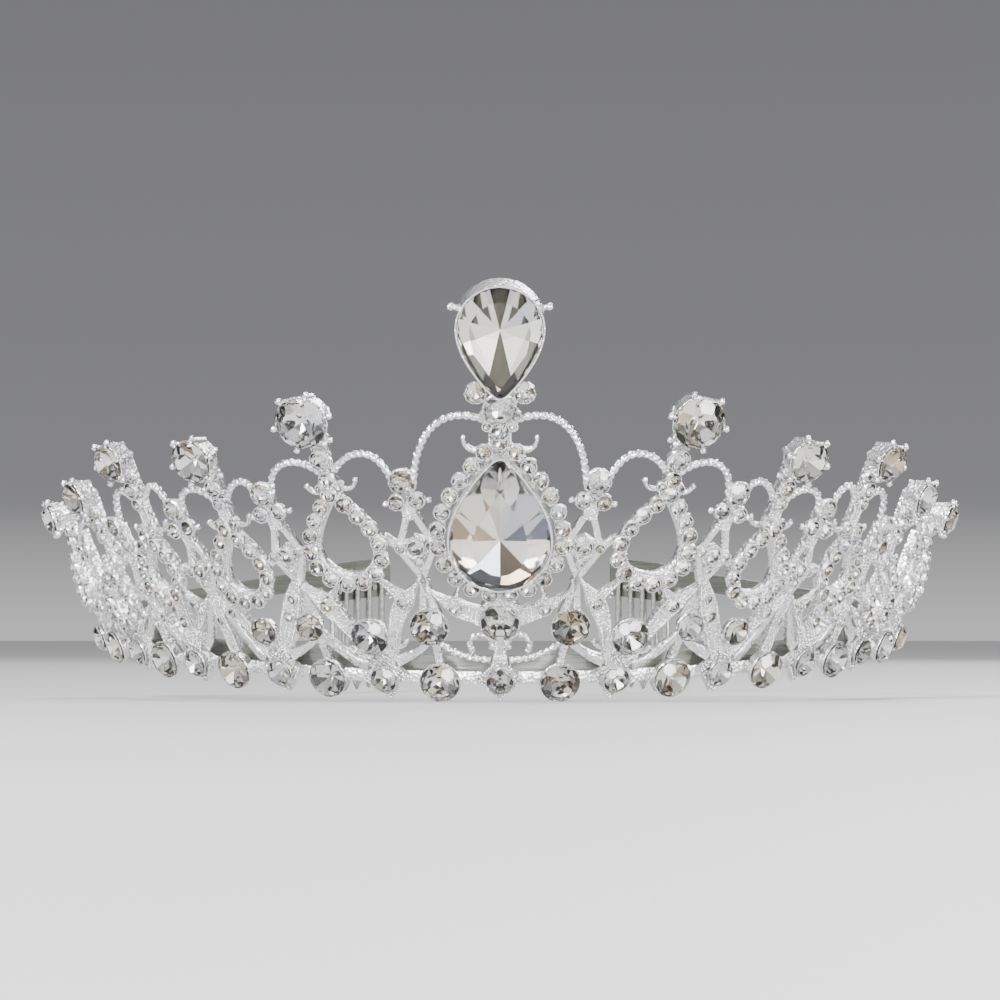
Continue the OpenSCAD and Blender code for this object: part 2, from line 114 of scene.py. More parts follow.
spireColumns = [
    "azimuth", "lean", "ring", "holeWidth", "holeHeight", "ringStone", "ringReach",
    "neck", "neckStone", "top", "topStone",
]
spires = [dict(zip(spireColumns, row)) for row in [
    [18.7, 9.8, 25.3, 8.4, 12.4, 3.0, 1.6, 39.1, 3.9, 47.0, 8.6],
    [33.4, 11.3, 19.3, 5.9, 9.4, 2.8, 1.65, 33.0, 3.1, 38.9, 7.0],
    [47.6, 10.5, 17.3, 4.9, 8.1, 2.7, 1.5, 31.0, 2.9, 36.7, 6.2],
    [59.6, 6.5, 10.0, 4.6, 7.0, 2.6, 1.4, 22.8, 2.7, 28.2, 5.7],
    [74.2, 5.5, 10.3, 4.2, 5.4, 2.5, 1.35, 17.4, 2.4, 22.2, 5.2],
]]
linkColumns = ["azimuth", "lean", "base", "lattice", "half", "trefoil", "trefoilStone"]
links = [dict(zip(linkColumns, row)) for row in [
    [10.0, 7.0, 6.5, 23.3, 5.0, 35.4, 4.4],
    [26.7, 13.0, 6.4, 21.3, 4.6, 32.8, 3.9],
    [40.6, 13.5, 6.3, 17.1, 4.2, 28.5, 3.6],
    [53.5, 15.0, 6.2, 12.4, 3.2, 23.8, 3.2],
    [67.2, 15.5, 5.6, 10.0, 2.8, 20.5, 2.8],
]]
middleColumns = ["hollow", "hollowHeight", "link", "linkHeight"]
middles = [dict(zip(middleColumns, row)) for row in [
    [6.2, 8.0, 6.2, 10.0],
    [4.5, 7.5, 4.7, 9.1],
]]
sides = {"left": -1, "right": 1}


def sinOf(angle):
    return math.sin(math.radians(angle))


def cosOf(angle):
    return math.cos(math.radians(angle))


# Sizes of a setting, as the stones' seats have them
def girdleHeight(size):
    return setting["seat"] + setting["pavilion"] * size


def girdleTop(size):
    return girdleHeight(size) + setting["girdle"] * size


def pearDepth(width):
    return setting["pavilion"] * width * setting["pearShallow"]


def pearCupHeight(width):
    return setting["seat"] + pearDepth(width) + setting["pearGirdle"]


# The strip's plan, from the front middle along one arm
stripRadius = band["radius"] - band["plate"] - strip["gap"] - strip["thick"] / 2
armFront = math.radians(strip["bendStart"]) * stripRadius
shoulderLength = math.radians(strip["shoulderTurn"]) * strip["shoulderRadius"]
sweepLength = math.radians(strip["armTurn"]) * strip["armRadius"]
plateLength = math.radians(strip["plateTurn"]) * strip["armRadius"]
armTotal = armFront + shoulderLength + sweepLength + strip["armLength"] + plateLength
armHeading = strip["bendStart"] + strip["shoulderTurn"] + strip["armTurn"]


def turned(point, heading, radius, angle):
    across = sinOf(heading + angle) - sinOf(heading)
    back = cosOf(heading) - cosOf(heading + angle)
    return point + radius * Vector((across, back))


def armPoint(run):
    heading = strip["bendStart"]
    if run < armFront:
        angle = math.degrees(run / stripRadius)
        return stripRadius * Vector((sinOf(angle), -cosOf(angle)))
    point = stripRadius * Vector((sinOf(heading), -cosOf(heading)))
    run -= armFront
    curves = [
        (strip["shoulderRadius"], strip["shoulderTurn"]),
        (strip["armRadius"], strip["armTurn"]),
    ]
    for radius, turn in curves:
        length = math.radians(turn) * radius
        if run < length:
            return turned(point, heading, radius, math.degrees(run / radius))
        point = turned(point, heading, radius, turn)
        heading += turn
        run -= length
    if run < strip["armLength"]:
        return point + run * Vector((cosOf(heading), sinOf(heading)))
    point = point + strip["armLength"] * Vector((cosOf(heading), sinOf(heading)))
    run -= strip["armLength"]
    return turned(point, heading, strip["armRadius"], math.degrees(run / strip["armRadius"]))


def toothRun(index):
    return armTotal - plateLength / 2 + (index - (comb["teeth"] - 1) / 2) * comb["pitch"]


# Where a column stands: its foot is shifted so that its ring or lattice keeps its azimuth
def footOf(column):
    return column.get("ring", column.get("lattice", 0)) * sinOf(column.get("lean", 0))


def slantRadius(height):
    return band["radius"] + height * sinOf(band["flare"])


# The tiara rests on the two front base stones and on the tips of the combs
def standingPose():
    size = links[0]["base"]
    flare = band["flare"]
    frontAzimuth = links[0]["azimuth"] - math.degrees(footOf(links[0]) / band["radius"])
    frontReach = band["radius"] - size / 2 * sinOf(flare) + girdleTop(size) * cosOf(flare)
    frontY = -frontReach * cosOf(frontAzimuth)
    frontZ = -size / 2 * cosOf(flare) - girdleTop(size) * sinOf(flare)
    tilt = math.atan((frontZ + comb["drop"]) / (armPoint(toothRun(0)).y - frontY))
    lift = -(frontY * math.sin(tilt) + frontZ * math.cos(tilt))
    topOut = pearCupHeight(centre["topWidth"])
    topUp = centre["topLow"] + centre["topHeight"] + setting["gap"] + setting["wall"]
    front = -(band["radius"] + topUp * sinOf(flare) + topOut * cosOf(flare)) * math.cos(tilt)
    front -= (topUp * cosOf(flare) - topOut * sinOf(flare)) * math.sin(tilt)
    back = (armPoint(toothRun(comb["teeth"] - 1)).y + comb["wire"]) * math.cos(tilt)
    back += comb["drop"] * math.sin(tilt)
    return Matrix.Translation((0, -(front + back) / 2, lift)) @ Matrix.Rotation(tilt, 4, "X")


standing = Matrix.Scale(mm, 4) @ standingPose()


# A column's own plane: x along the band, y up the column, z outward
def plateOf(column, side=1):
    turn = Matrix.Rotation(math.radians(column.get("azimuth", 0)), 4, "Z")
    lean = Matrix.Rotation(math.radians(-column.get("lean", 0)), 4, "Z")
    rise = Matrix.Rotation(math.radians(90 + band["flare"]), 4, "X")
    out = Matrix.Translation((0, -band["radius"], 0))
    foot = Matrix.Translation((-footOf(column), 0, 0))
    mirror = Matrix.Diagonal((side, 1, 1, 1))
    return standing @ mirror @ turn @ out @ rise @ foot @ lean


def placesOf(column):
    return [plateOf(column, sign) for sign in sides.values()]


def onSurface(column, along, up):
    lean = column.get("lean", 0)
    run = along * cosOf(lean) + up * sinOf(lean) - footOf(column)
    height = up * cosOf(lean) - along * sinOf(lean)
    return column.get("azimuth", 0) + math.degrees(run / slantRadius(height)), height


def inPlate(column, point):
    azimuth, height = point
    lean = column.get("lean", 0)
    turn = math.radians(azimuth - column.get("azimuth", 0))
    run = turn * slantRadius(height) + footOf(column)
    return Vector((
        run * cosOf(lean) - height * sinOf(lean),
        run * sinOf(lean) + height * cosOf(lean),
    ))


# A point of one column, seen in the plane of its neighbour
def between(home, other, along, up):
    return inPlate(home, onSurface(other, along, up))


# Curves drawn in a plate
def bend(corners, count):
    path = []
    nowhere = Vector([0] * len(corners[0]))
    for index in range(count + 1):
        t = index / count
        weights = [(1 - t) ** 3, 3 * (1 - t) ** 2 * t, 3 * (1 - t) * t ** 2, t ** 3]
        path.append(sum((Vector(c) * w for c, w in zip(corners, weights)), nowhere))
    return path


# The value at a share of the way along a few keys
def spread(keys, share):
    if not isinstance(keys, (list, tuple)):
        return keys
    place = share * (len(keys) - 1)
    index = min(int(place), len(keys) - 2)
    return keys[index] + (keys[index + 1] - keys[index]) * (place - index)


# A drop with its point up; the last factor brings its widest place to about the full width
def dropPath(width, height, count, pointed, grow=0.0, middle=0.0):
    path = []
    for index in range(count + 1):
        turn = 2 * math.pi * index / count
        narrow = (1 - pointed * ((1 + math.cos(turn)) / 2) ** 2) * (0.934 + 0.3 * pointed)
        path.append(Vector((
            math.sin(turn) * (width / 2 + grow) * narrow,
            middle + math.cos(turn) * (height / 2 + grow),
        )))
    return path


def evenly(path, count):
    runs = [0.0]
    for before, after in zip(path, path[1:]):
        runs.append(runs[-1] + (after - before).length)
    points = []
    for index in range(count):
        run = runs[-1] * index / count
        spot = next(i for i in range(len(runs) - 1) if runs[i + 1] >= run)
        share = (run - runs[spot]) / (runs[spot + 1] - runs[spot])
        points.append(path[spot].lerp(path[spot + 1], share))
    return points


def pathLength(path):
    return sum((b - a).length for a, b in zip(path, path[1:]))


# Cross-sections, two units wide and two units deep
def roundSection(count, lobes=0.0):
    section = []
    for index in range(count):
        turn = 2 * math.pi * (index + 0.5) / count
        reach = 1 + lobes * math.cos(2 * turn)
        section.append((math.cos(turn) * reach, math.sin(turn) * reach))
    return section


slabSection = [
    (-0.85, -1), (0.85, -1), (1, -0.75), (1, 0.7),
    (0.8, 1), (-0.8, 1), (-1, 0.7), (-1, -0.75),
]


def stopsAlong(path, width, depth, height, twist, closed):
    points = [Vector((p[0], p[1], p[2] if len(p) > 2 else height)) for p in path]
    last = len(points) - 1
    up = Vector((0, 0, 1))
    stops = []
    for index, point in enumerate(points):
        after = points[index + 1] if index < last else (points[1] if closed else point)
        before = points[index - 1] if index else (points[last - 1] if closed else point)
        ahead = (after - before).normalized()
        up = (up - ahead * up.dot(ahead)).normalized()
        across = ahead.cross(up)
        turn = twist * index
        share = index / last
        wide = (across * math.cos(turn) + up * math.sin(turn)) * spread(width, share) / 2
        deep = (up * math.cos(turn) - across * math.sin(turn)) * spread(depth, share) / 2
        stops.append(Matrix([
            [wide.x, deep.x, ahead.x, point.x],
            [wide.y, deep.y, ahead.y, point.y],
            [wide.z, deep.z, ahead.z, point.z],
            [0, 0, 0, 1],
        ]))
    return stops


def sweep(shape, section, stops, closed):
    start = [shape.verts.new(stops[0] @ Vector((x, y, 0))) for x, y in section]
    cap = shape.faces.new(start)
    edges = cap.edges[:]
    if closed:
        shape.faces.remove(cap)
    for before, after in zip(stops, stops[1:]):
        grown = bmesh.ops.extrude_edge_only(shape, edges=edges)["geom"]
        verts = {g for g in grown if isinstance(g, bmesh.types.BMVert)}
        edges = [g for g in grown if isinstance(g, bmesh.types.BMEdge) and set(g.verts) <= verts]
        bmesh.ops.transform(shape, matrix=after @ before.inverted(), verts=list(verts))
    if closed:
        bmesh.ops.remove_doubles(shape, verts=shape.verts, dist=0.001)
    else:
        bmesh.ops.holes_fill(shape, edges=edges, sides=0)


def rod(path, width, depth=None, height=0.0, section=None, twist=0.0, closed=False):
    shape = bmesh.new()
    depth = width if depth is None else depth
    stops = stopsAlong(path, width, depth, height, twist, closed)
    sweep(shape, section or roundSection(8), stops, closed)
    return shape


def lathe(profile, steps):
    shape = bmesh.new()
    verts = [shape.verts.new((r, 0, z)) for r, z in profile]
    edges = [shape.edges.new(pair) for pair in zip(verts, verts[1:])]
    bmesh.ops.spin(
        shape, geom=verts + edges, cent=(0, 0, 0), axis=(0, 0, 1),
        angle=2 * math.pi, steps=steps, use_merge=True,
    )
    bmesh.ops.remove_doubles(shape, verts=shape.verts, dist=0.001)
    return shape


def ball(radius, point, detail=1):
    shape = bmesh.new()
    place = Matrix.Translation(point)
    bmesh.ops.create_icosphere(shape, subdivisions=detail, radius=radius, matrix=place)
    return shape


def keep(shape):
    mesh = bpy.data.meshes.new("shape")
    shape.to_mesh(mesh)
    shape.free()
    return mesh


def newObject(name, data):
    thing = bpy.data.objects.new(name, data)
    bpy.context.scene.collection.objects.link(thing)
    return thing


class Piece:
    # One named object, gathered from shapes that are put in their places
    def __init__(self, name, materials, slot, replaced=(), sharp=50):
        self.name = name
        self.materials = materials
        self.slot = slot
        self.replaced = replaced
        self.sharp = sharp
        self.mass = bmesh.new()

    def add(self, mesh, *places):
        for place in places:
            copy = mesh.copy()
            copy.transform(place)
            self.mass.from_mesh(copy)
            bpy.data.meshes.remove(copy)

    def finish(self, foilAndReflectionColours=None):
        bmesh.ops.recalc_face_normals(self.mass, faces=self.mass.faces)
        for face in self.mass.faces:
            face.smooth = True
        # Each facet gets a tone in a colour attribute: the foil's own silver, or a painted
        # reflection in a dark, bronze, cream or bluish tone
        if foilAndReflectionColours:
            layer = self.mass.loops.layers.float_color.new("foilAndPaintedReflections")
            for face in self.mass.faces:
                colour = foilAndReflectionColours(face)
                for loop in face.loops:
                    loop[layer] = colour
        mesh = bpy.data.meshes.new(self.name)
        self.mass.to_mesh(mesh)
        self.mass.free()
        mesh.set_sharp_from_angle(angle=math.radians(self.sharp))
        for material in self.materials:
            mesh.materials.append(material)
        thing = newObject(self.name, mesh)
        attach(thing, "root")
        if self.replaced:
            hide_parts(*self.replaced)


# Materials
def setInputs(node, values):
    for name, value in values.items():
        node.inputs[name].default_value = value
    return node


def newMaterial(name, values):
    material = bpy.data.materials.new(name)
    material.use_nodes = True
    nodes = material.node_tree.nodes
    surface = setInputs(nodes["Principled BSDF"], values)
    return material, nodes, surface


def join(source, output, node, target):
    source.id_data.links.new(source.outputs[output], node.inputs[target])


def grain(nodes, scale, detail=2.0, stretch=(1.0, 1.0, 1.0)):
    where = nodes.new("ShaderNodeTexCoord")
    brush = setInputs(nodes.new("ShaderNodeMapping"), {"Scale": stretch})
    noise = setInputs(nodes.new("ShaderNodeTexNoise"), {"Scale": scale, "Detail": detail})
    join(where, "Object", brush, "Vector")
    join(brush, "Vector", noise, "Vector")
    return noise


def ramp(nodes, source, output, stops):
    colours = nodes.new("ShaderNodeValToRGB")
    elements = colours.color_ramp.elements
    for element, (place, colour) in zip(elements, stops):
        element.position = place
        element.color = (*colour, 1)
    for place, colour in stops[2:]:
        element = elements.new(place)
        element.color = (*colour, 1)
    join(source, output, colours, "Fac")
    return colours


castLook = {
    "bright": (0.98, 0.98, 0.98),
    "dull": (0.60, 0.60, 0.61),
    "from": 0.3,
    "to": 0.55,
    "roughLow": 0.12,
    "roughHigh": 0.34,
    "grain": 3600.0,
    "bump": 0.6,
    "bumpDepth": 0.00008,
    "dots": 1900.0,
    "dotRelief": 0.9,
    "dotDepth": 0.00025,
}


# The colour of a metal follows its grain, from a dull to a bright tone
def tinted(nodes, surface, fine, look):
    stops = [(look["from"], look["dull"]), (look["to"], look["bright"])]
    join(ramp(nodes, fine, "Fac", stops), "Color", surface, "Base Color")


# Bright plate over a casting: fine grain in colour and roughness, and round dots in relief
def castSilver():
    material, nodes, surface = newMaterial("castSilver", {"Metallic": 1.0})
    fine = grain(nodes, castLook["grain"])
    tinted(nodes, surface, fine, castLook)
    roughness = {"To Min": castLook["roughHigh"], "To Max": castLook["roughLow"]}
    rough = setInputs(nodes.new("ShaderNodeMapRange"), roughness)
    join(fine, "Fac", rough, "Value")
    join(rough, "Result", surface, "Roughness")
    dots = nodes.new("ShaderNodeTexVoronoi")
    dots.feature = "SMOOTH_F1"
    setInputs(dots, {"Scale": castLook["dots"]})
    join(nodes.new("ShaderNodeTexCoord"), "Object", dots, "Vector")
    height = {"Strength": castLook["dotRelief"], "Distance": castLook["dotDepth"]}
    domes = setInputs(nodes.new("ShaderNodeBump"), height)
    domes.invert = True
    join(dots, "Distance", domes, "Height")
    height = {"Strength": castLook["bump"], "Distance": castLook["bumpDepth"]}
    relief = setInputs(nodes.new("ShaderNodeBump"), height)
    join(fine, "Fac", relief, "Height")
    join(domes, "Normal", relief, "Normal")
    join(relief, "Normal", surface, "Normal")
    return material


glassLook = {
    "Base Color": (1, 1, 1, 1),
    "Transmission Weight": 1.0,
    "Roughness": 0.0,
    "IOR": 1.55,
}
foilLook = {"Metallic": 1.0, "Roughness": 0.06}


# The foil behind a stone takes its tone from the colour attribute, which holds the foil's own
# silver and painted reflections
def mirrorFoilAndPaintedReflections():
    material, nodes, surface = newMaterial("mirrorFoilAndPaintedReflections", foilLook)
    # The attribute's tones are partly the foil's silver and partly painted reflections
    foilOrReflectionTone = nodes.new("ShaderNodeVertexColor")
    foilOrReflectionTone.layer_name = "foilAndPaintedReflections"
    join(foilOrReflectionTone, "Color", surface, "Base Color")
    return material


stripLook = {
    "dull": (0.19, 0.20, 0.175),
    "bright": (0.29, 0.30, 0.265),
    "from": 0.35,
    "to": 0.7,
    "grain": (700.0, 4.0, (0.12, 0.12, 7.0)),  # streaks along the band
    "rough": 0.34,
}
combLook = {
    "dull": (0.38, 0.38, 0.36),
    "bright": (0.64, 0.64, 0.62),
    "from": 0.3,
    "to": 0.7,
    "grain": (1500.0, 3.0),
    "rough": 0.28,
}


def plainMetal(name, look):
    values = {"Metallic": 1.0, "Roughness": look["rough"]}
    material, nodes, surface = newMaterial(name, values)
    tinted(nodes, surface, grain(nodes, *look["grain"]), look)
    return material


silver = castSilver()
glass = newMaterial("crystalGlass", glassLook)[0]
foilAndPaintedReflections = mirrorFoilAndPaintedReflections()
steel = plainMetal("stripSteel", stripLook)
wireSilver = plainMetal("combWire", combLook)
print("materials made")


# Stones are ground from a prism of their outline, one flat facet at a time
def grind(stone, point, normal, material):
    geometry = stone.verts[:] + stone.edges[:] + stone.faces[:]
    cut = bmesh.ops.bisect_plane(
        stone, geom=geometry, dist=0.00001, plane_co=point, plane_no=normal, clear_outer=True,
    )
    edges = [g for g in cut["geom_cut"] if isinstance(g, bmesh.types.BMEdge)]
    if len(edges) > 2:
        for face in bmesh.ops.holes_fill(stone, edges=edges, sides=0)["faces"]:
            face.material_index = material


def prism(outline, low, high):
    stone = bmesh.new()
    base = stone.faces.new([stone.verts.new((p[0], p[1], low)) for p in outline])
    grown = bmesh.ops.extrude_face_region(stone, geom=[base])["geom"]
    rise = [g for g in grown if isinstance(g, bmesh.types.BMVert)]
    bmesh.ops.translate(stone, vec=(0, 0, high - low), verts=rise)
    bmesh.ops.recalc_face_normals(stone, faces=stone.faces)
    return stone


# Directions round a stone, with how far its outline reaches in each
def facetTurns(outline, count, offset):
    for index in range(count):
        turn = math.radians(360 * (index + offset) / count)
        out = Vector((math.sin(turn), math.cos(turn), 0))
        yield out, max(out.to_2d().dot(Vector(p[:2])) for p in outline)


def crownFacets(stone, outline, height, angle, count, offset, inset=0.0):
    for out, reach in facetTurns(outline, count, offset):
        normal = out * sinOf(angle) + Vector((0, 0, cosOf(angle)))
        grind(stone, out * (reach - inset) + Vector((0, 0, height)), normal, 0)


def backFacets(stone, outline, height, depth, culet, count, offset, steeper=1.0):
    for out, reach in facetTurns(outline, count, offset):
        run = reach - out.dot(culet)
        normal = out * depth * steeper - Vector((0, 0, run))
        grind(stone, out * reach + Vector((0, 0, height)), normal.normalized(), 1)


def roundOutline(size, count):
    turns = [2 * math.pi * (index + 0.5) / count for index in range(count)]
    return [(size / 2 * math.sin(turn), size / 2 * math.cos(turn)) for turn in turns]


roundCut = {
    "sides": 24,
    "mains": 8,
    "halves": 16,
    "halfSteeper": 7,
    "starFlatter": 13,
    "starReach": 0.94,
    "backSteeper": 1.12,
}


def roundStone(size):
    outline = roundOutline(size, roundCut["sides"])
    girdle = girdleHeight(size)
    rim = girdleTop(size)
    top = girdle + (setting["girdle"] + setting["crown"]) * size
    depth = setting["pavilion"] * size
    run = size / 2 * (1 - setting["table"])
    slope = math.degrees(math.atan(setting["crown"] * size / run))
    star = slope - roundCut["starFlatter"]
    mains = roundCut["mains"]
    halves = roundCut["halves"]
    stone = prism(outline, setting["seat"], top)
    crownFacets(stone, outline, rim, slope, mains, 0.0)
    crownFacets(stone, outline, rim, slope + roundCut["halfSteeper"], halves, 0.5)
    crownFacets(stone, outline, top, star, mains, 0.5, run * roundCut["starReach"])
    backFacets(stone, outline, girdle, depth, Vector(), mains, 0.0)
    backFacets(stone, outline, girdle, depth, Vector(), halves, 0.5, roundCut["backSteeper"])
    return keep(stone)


# How the foil's tones are shared out: a colour, and its parts in a hundred. The near-white is the
# foil's own silver; the cream, bluish, bronze and near-black tones are painted reflections
foilAndPaintedReflectionTones = [
    ((0.98, 0.98, 0.97), 50),
    ((0.95, 0.92, 0.82), 20),
    ((0.82, 0.83, 0.88), 12),
    ((0.60, 0.50, 0.38), 7),
    ((0.28, 0.22, 0.16), 6),
    ((0.10, 0.10, 0.09), 5),
]
foilAndReflectionToneList = [foilOrReflectionTone for foilOrReflectionTone, share in foilAndPaintedReflectionTones for unused in range(share)]
dice = random.Random(7)


# Back facets get a random tone: the foil's silver or a painted reflection
def randomFoilOrReflectionTone(face):
    if face.material_index == 1:
        return (*dice.choice(foilAndReflectionToneList), 1)
    return (1, 1, 1, 1)


def stonePiece(name, mesh, place, colours=randomFoilOrReflectionTone, slot="round_crystal"):
    piece = Piece(name + "_cut", [glass, foilAndPaintedReflections], slot, [name], sharp=1)
    piece.add(mesh, place)
    piece.finish(colours)


def at(along, up, out=0.0, turn=0.0):
    return Matrix.Translation((along, up, out)) @ Matrix.Rotation(math.radians(turn), 4, "Z")


# Stones of one column, each with its kind, size, height and how far it is raised
def columnStones(column, side, sign, index, stones):
    plate = plateOf(column, sign)
    for kind, size, up, raised in stones:
        if size:
            name = f"{kind}_stone_{side}_{index + 1}"
            stonePiece(name, roundStone(size), plate @ at(0, up, raised))


for side, sign in sides.items():
    for index, column in enumerate(spires):
        row = middles[index] if index < len(middles) else {}
        columnStones(column, side, sign, index, [
            ("spire", column["topStone"], column["top"], setting["spireRaise"]),
            ("lozenge", setting["lozengeStone"], 0, 0),
            ("hollow", row.get("hollow"), row.get("hollowHeight"), 0),
        ])
    for index, column in enumerate(links):
        row = middles[index] if index < len(middles) else {}
        columnStones(column, side, sign, index, [
            ("base", column["base"], 0, 0),
            ("link", row.get("link"), row.get("linkHeight"), 0),
        ])
centrePlate = plateOf({})
stonePiece("centre_lozenge_stone", roundStone(setting["lozengeStone"]), centrePlate)
place = centrePlate @ at(0, centre["stoneHeight"])
stonePiece("centre_navette_stone", roundStone(centre["stone"]), place)


# The two pears; their foil's tones go round from the point: the foil's own silver among painted
# dark, bronze and coloured reflections
centrePear = {
    "rise": 2.4,
    "culet": -3.0,
    "facets": 8,
    "turn": 0.5,
    "foilAndReflectionTones": [
        (0.97, 0.97, 0.96), (0.62, 0.62, 0.72), (0.90, 0.89, 0.82), (0.34, 0.25, 0.18),
        (0.16, 0.17, 0.19), (0.93, 0.92, 0.86), (0.96, 0.95, 0.90), (0.90, 0.88, 0.78),
    ],
}
topPear = {
    "rise": 1.3,
    "culet": -1.8,
    "facets": 12,
    "turn": 0.0,
    "foilAndReflectionTones": [
        (0.09, 0.085, 0.06), (0.93, 0.92, 0.86), (0.86, 0.87, 0.92), (0.95, 0.93, 0.87),
        (0.98, 0.98, 0.98), (0.98, 0.98, 0.98), (0.98, 0.98, 0.98), (0.96, 0.96, 0.96),
        (0.70, 0.71, 0.80), (0.94, 0.94, 0.92), (0.88, 0.70, 0.42), (0.92, 0.90, 0.82),
    ],
}
pearCut = {
    "sides": 32,
    "upper": 16,
    "upperAngle": 33,
    "lower": 32,
    "lowerAngle": 46,
    "back": 16,
    "backSteeper": 1.5,
    "mixed": 0.5,  # share of the small facets that take any tone
}


def pearStone(width, height, look):
    outline = dropPath(width, height, pearCut["sides"], centre["pearPoint"])[:-1]
    depth = pearDepth(width)
    base = setting["seat"] + depth
    rim = base + setting["pearGirdle"]
    culet = Vector((0, look["culet"], 0))
    stone = prism(outline, setting["seat"], rim + look["rise"])
    crownFacets(stone, outline, rim, pearCut["upperAngle"], pearCut["upper"], 0.5)
    crownFacets(stone, outline, rim, pearCut["lowerAngle"], pearCut["lower"], 0.5)
    backFacets(stone, outline, base, depth, culet, look["facets"], look["turn"])
    backFacets(stone, outline, base, depth, culet, pearCut["back"], 0.5, pearCut["backSteeper"])
    return keep(stone)


# Back facets of a pear take painted reflection tones by their direction from the culet, and some
# small ones take a random tone
def pearFoilAndReflectionColours(look, seat):
    middle = seat @ at(0, look["culet"])
    foilAndReflectionTones = look["foilAndReflectionTones"]

    def colour(face):
        if face.material_index != 1:
            return (1, 1, 1, 1)
        if len(face.verts) < 5 and dice.random() < pearCut["mixed"]:
            return (*dice.choice(foilAndReflectionToneList), 1)
        local = middle.inverted() @ face.calc_center_median()
        angle = math.degrees(math.atan2(local.x, local.y)) % 360
        return (*foilAndReflectionTones[round(angle * len(foilAndReflectionTones) / 360 - look["turn"]) % len(foilAndReflectionTones)], 1)
    return colour


def addPear(name, width, height, look, seat):
    mesh = pearStone(width, height, look)
    stonePiece(name, mesh, seat, pearFoilAndReflectionColours(look, seat), "pear_crystal")


pearMiddle = centre["pearLow"] + centre["pearHeight"] / 2
topMiddle = centre["topLow"] + centre["topHeight"] / 2
centreSeat = centrePlate @ at(0, pearMiddle)
topSeat = centrePlate @ at(0, topMiddle, 0, 180)
addPear("centre_pear", centre["pearWidth"], centre["pearHeight"], centrePear, centreSeat)
addPear("top_pear", centre["topWidth"], centre["topHeight"], topPear, topSeat)
print("large stones cut")


# Cups of the large stones: they open upwards and end in a thin lip round the stone's edge
cupShape = {
    "foot": 0.5,
    "lip": 0.17,
    "under": 0.24,
    "steps": 24,
}


def cupMesh(size, raised):
    top = girdleHeight(size) + raised - cupShape["under"]
    outer = size / 2 + cupShape["lip"]
    floorLevel = 0.04 + raised
    return keep(lathe([
        (0, -cupShape["foot"]),
        (size * 0.37, -cupShape["foot"]),
        (size * 0.40, raised * 0.5),
        (outer - 0.14, top - 0.45),
        (outer, top - 0.16),
        (outer - 0.08, top),
        (size / 2 - 0.34, top - 0.02),
        (size * 0.14, floorLevel),
        (0, floorLevel),
    ], cupShape["steps"]))


# Small stones, each with its own cup, shared by the rings, leaves and trefoils
smallShape = {
    "rim": 0.27,
    "height": 0.75,
    "depth": 0.5,
    "bevel": 0.2,
    "steps": 10,
    "sides": 8,
}


def smallCup(size):
    outer = size / 2
    stone = outer - smallShape["rim"]
    top = smallShape["height"]
    floorLevel = top - 0.16 - stone * 0.68
    base = min(-smallShape["depth"], floorLevel - 0.12)
    return keep(lathe([
        (0, base),
        (outer * 0.8, base),
        (outer, 0.1),
        (outer * 0.98, top - smallShape["bevel"]),
        (outer * 0.9, top),
        (stone + 0.02, top),
        (stone, top - smallShape["bevel"]),
        (0, floorLevel),
    ], smallShape["steps"]))


def smallStone(size):
    width = 2 * (size / 2 - smallShape["rim"]) - 0.02
    outline = roundOutline(width, smallShape["sides"])
    rim = smallShape["height"] - 0.12
    girdle = rim - width * 0.03
    depth = width * 0.3
    stone = prism(outline, rim - width * 0.34, rim + width * 0.2)
    crownFacets(stone, outline, rim, 36, smallShape["sides"], 0.5)
    backFacets(stone, outline, girdle, depth, Vector(), smallShape["sides"], 0.0)
    return keep(stone)


smallCache = {}


def smallSetting(size):
    key = round(size, 1)
    if key not in smallCache:
        smallCache[key] = (smallCup(key), smallStone(key))
    return smallCache[key]


openwork = Piece("cast_openwork", [silver], "cast_metal", ["crown_frame"])
wires = Piece("rope_wires", [silver], "cast_metal")
cups = Piece("stone_cups", [silver], "cast_metal")
smallCups = Piece("small_stone_cups", [silver], "cast_metal")
smallStones = Piece("small_stones", [glass, foilAndPaintedReflections], "round_crystal", sharp=1)
beads = Piece("milgrain_beads", [silver], "cast_metal")
grains = Piece("pave_grains", [silver], "cast_metal")
clawWork = Piece("claws", [silver], "cast_metal")

# Depths, wires and beads of everything drawn in a plate
draw = {
    "thick": 1.4,
    "level": -0.75,
    "low": -1.3,
    "face": -0.02,
    "rim": 0.26,
    "sunk": 0.2,
    "link": 1.2,
    "rope": 1.1,
    "ropeLevel": -0.5,
    "ropeLobes": 0.22,
    "ropeStep": 0.27,
    "ropeTurn": 0.68,
    "bead": 0.23,
    "beadStep": 0.5,
    "grain": 0.25,
    "grainStep": 0.66,
    "grainLift": 0.06,
    "grainShift": 0.1,
    "stoneSunk": -0.3,
}


def across(way, *spots):
    return [Vector((way * x, y)) for x, y in spots]


# An even outline, given from its lowest point up one side to its top
def mirrored(*spots):
    return across(1, *spots) + across(-1, *spots[-2:0:-1])


def addSmall(size, along, up, places, out):
    cupPart, stonePart = smallSetting(size)
    for place in places:
        smallCups.add(cupPart, place @ at(along, up, out))
        smallStones.add(stonePart, place @ at(along, up, out, dice.uniform(0, 45)))


def addRope(path, places, width=draw["rope"]):
    count = max(6, int(pathLength(path) / draw["ropeStep"]))
    even = evenly(path, count) + [path[-1]]
    section = roundSection(8, draw["ropeLobes"])
    shape = keep(rod(even, width, None, draw["ropeLevel"], section, draw["ropeTurn"]))
    wires.add(shape, *places)


def addRod(path, width, places, depth, section=None):
    openwork.add(keep(rod(path, width, depth, draw["level"], section)), *places)


def addSlab(path, width, places, depth=draw["link"]):
    addRod(path, width, places, depth, slabSection)


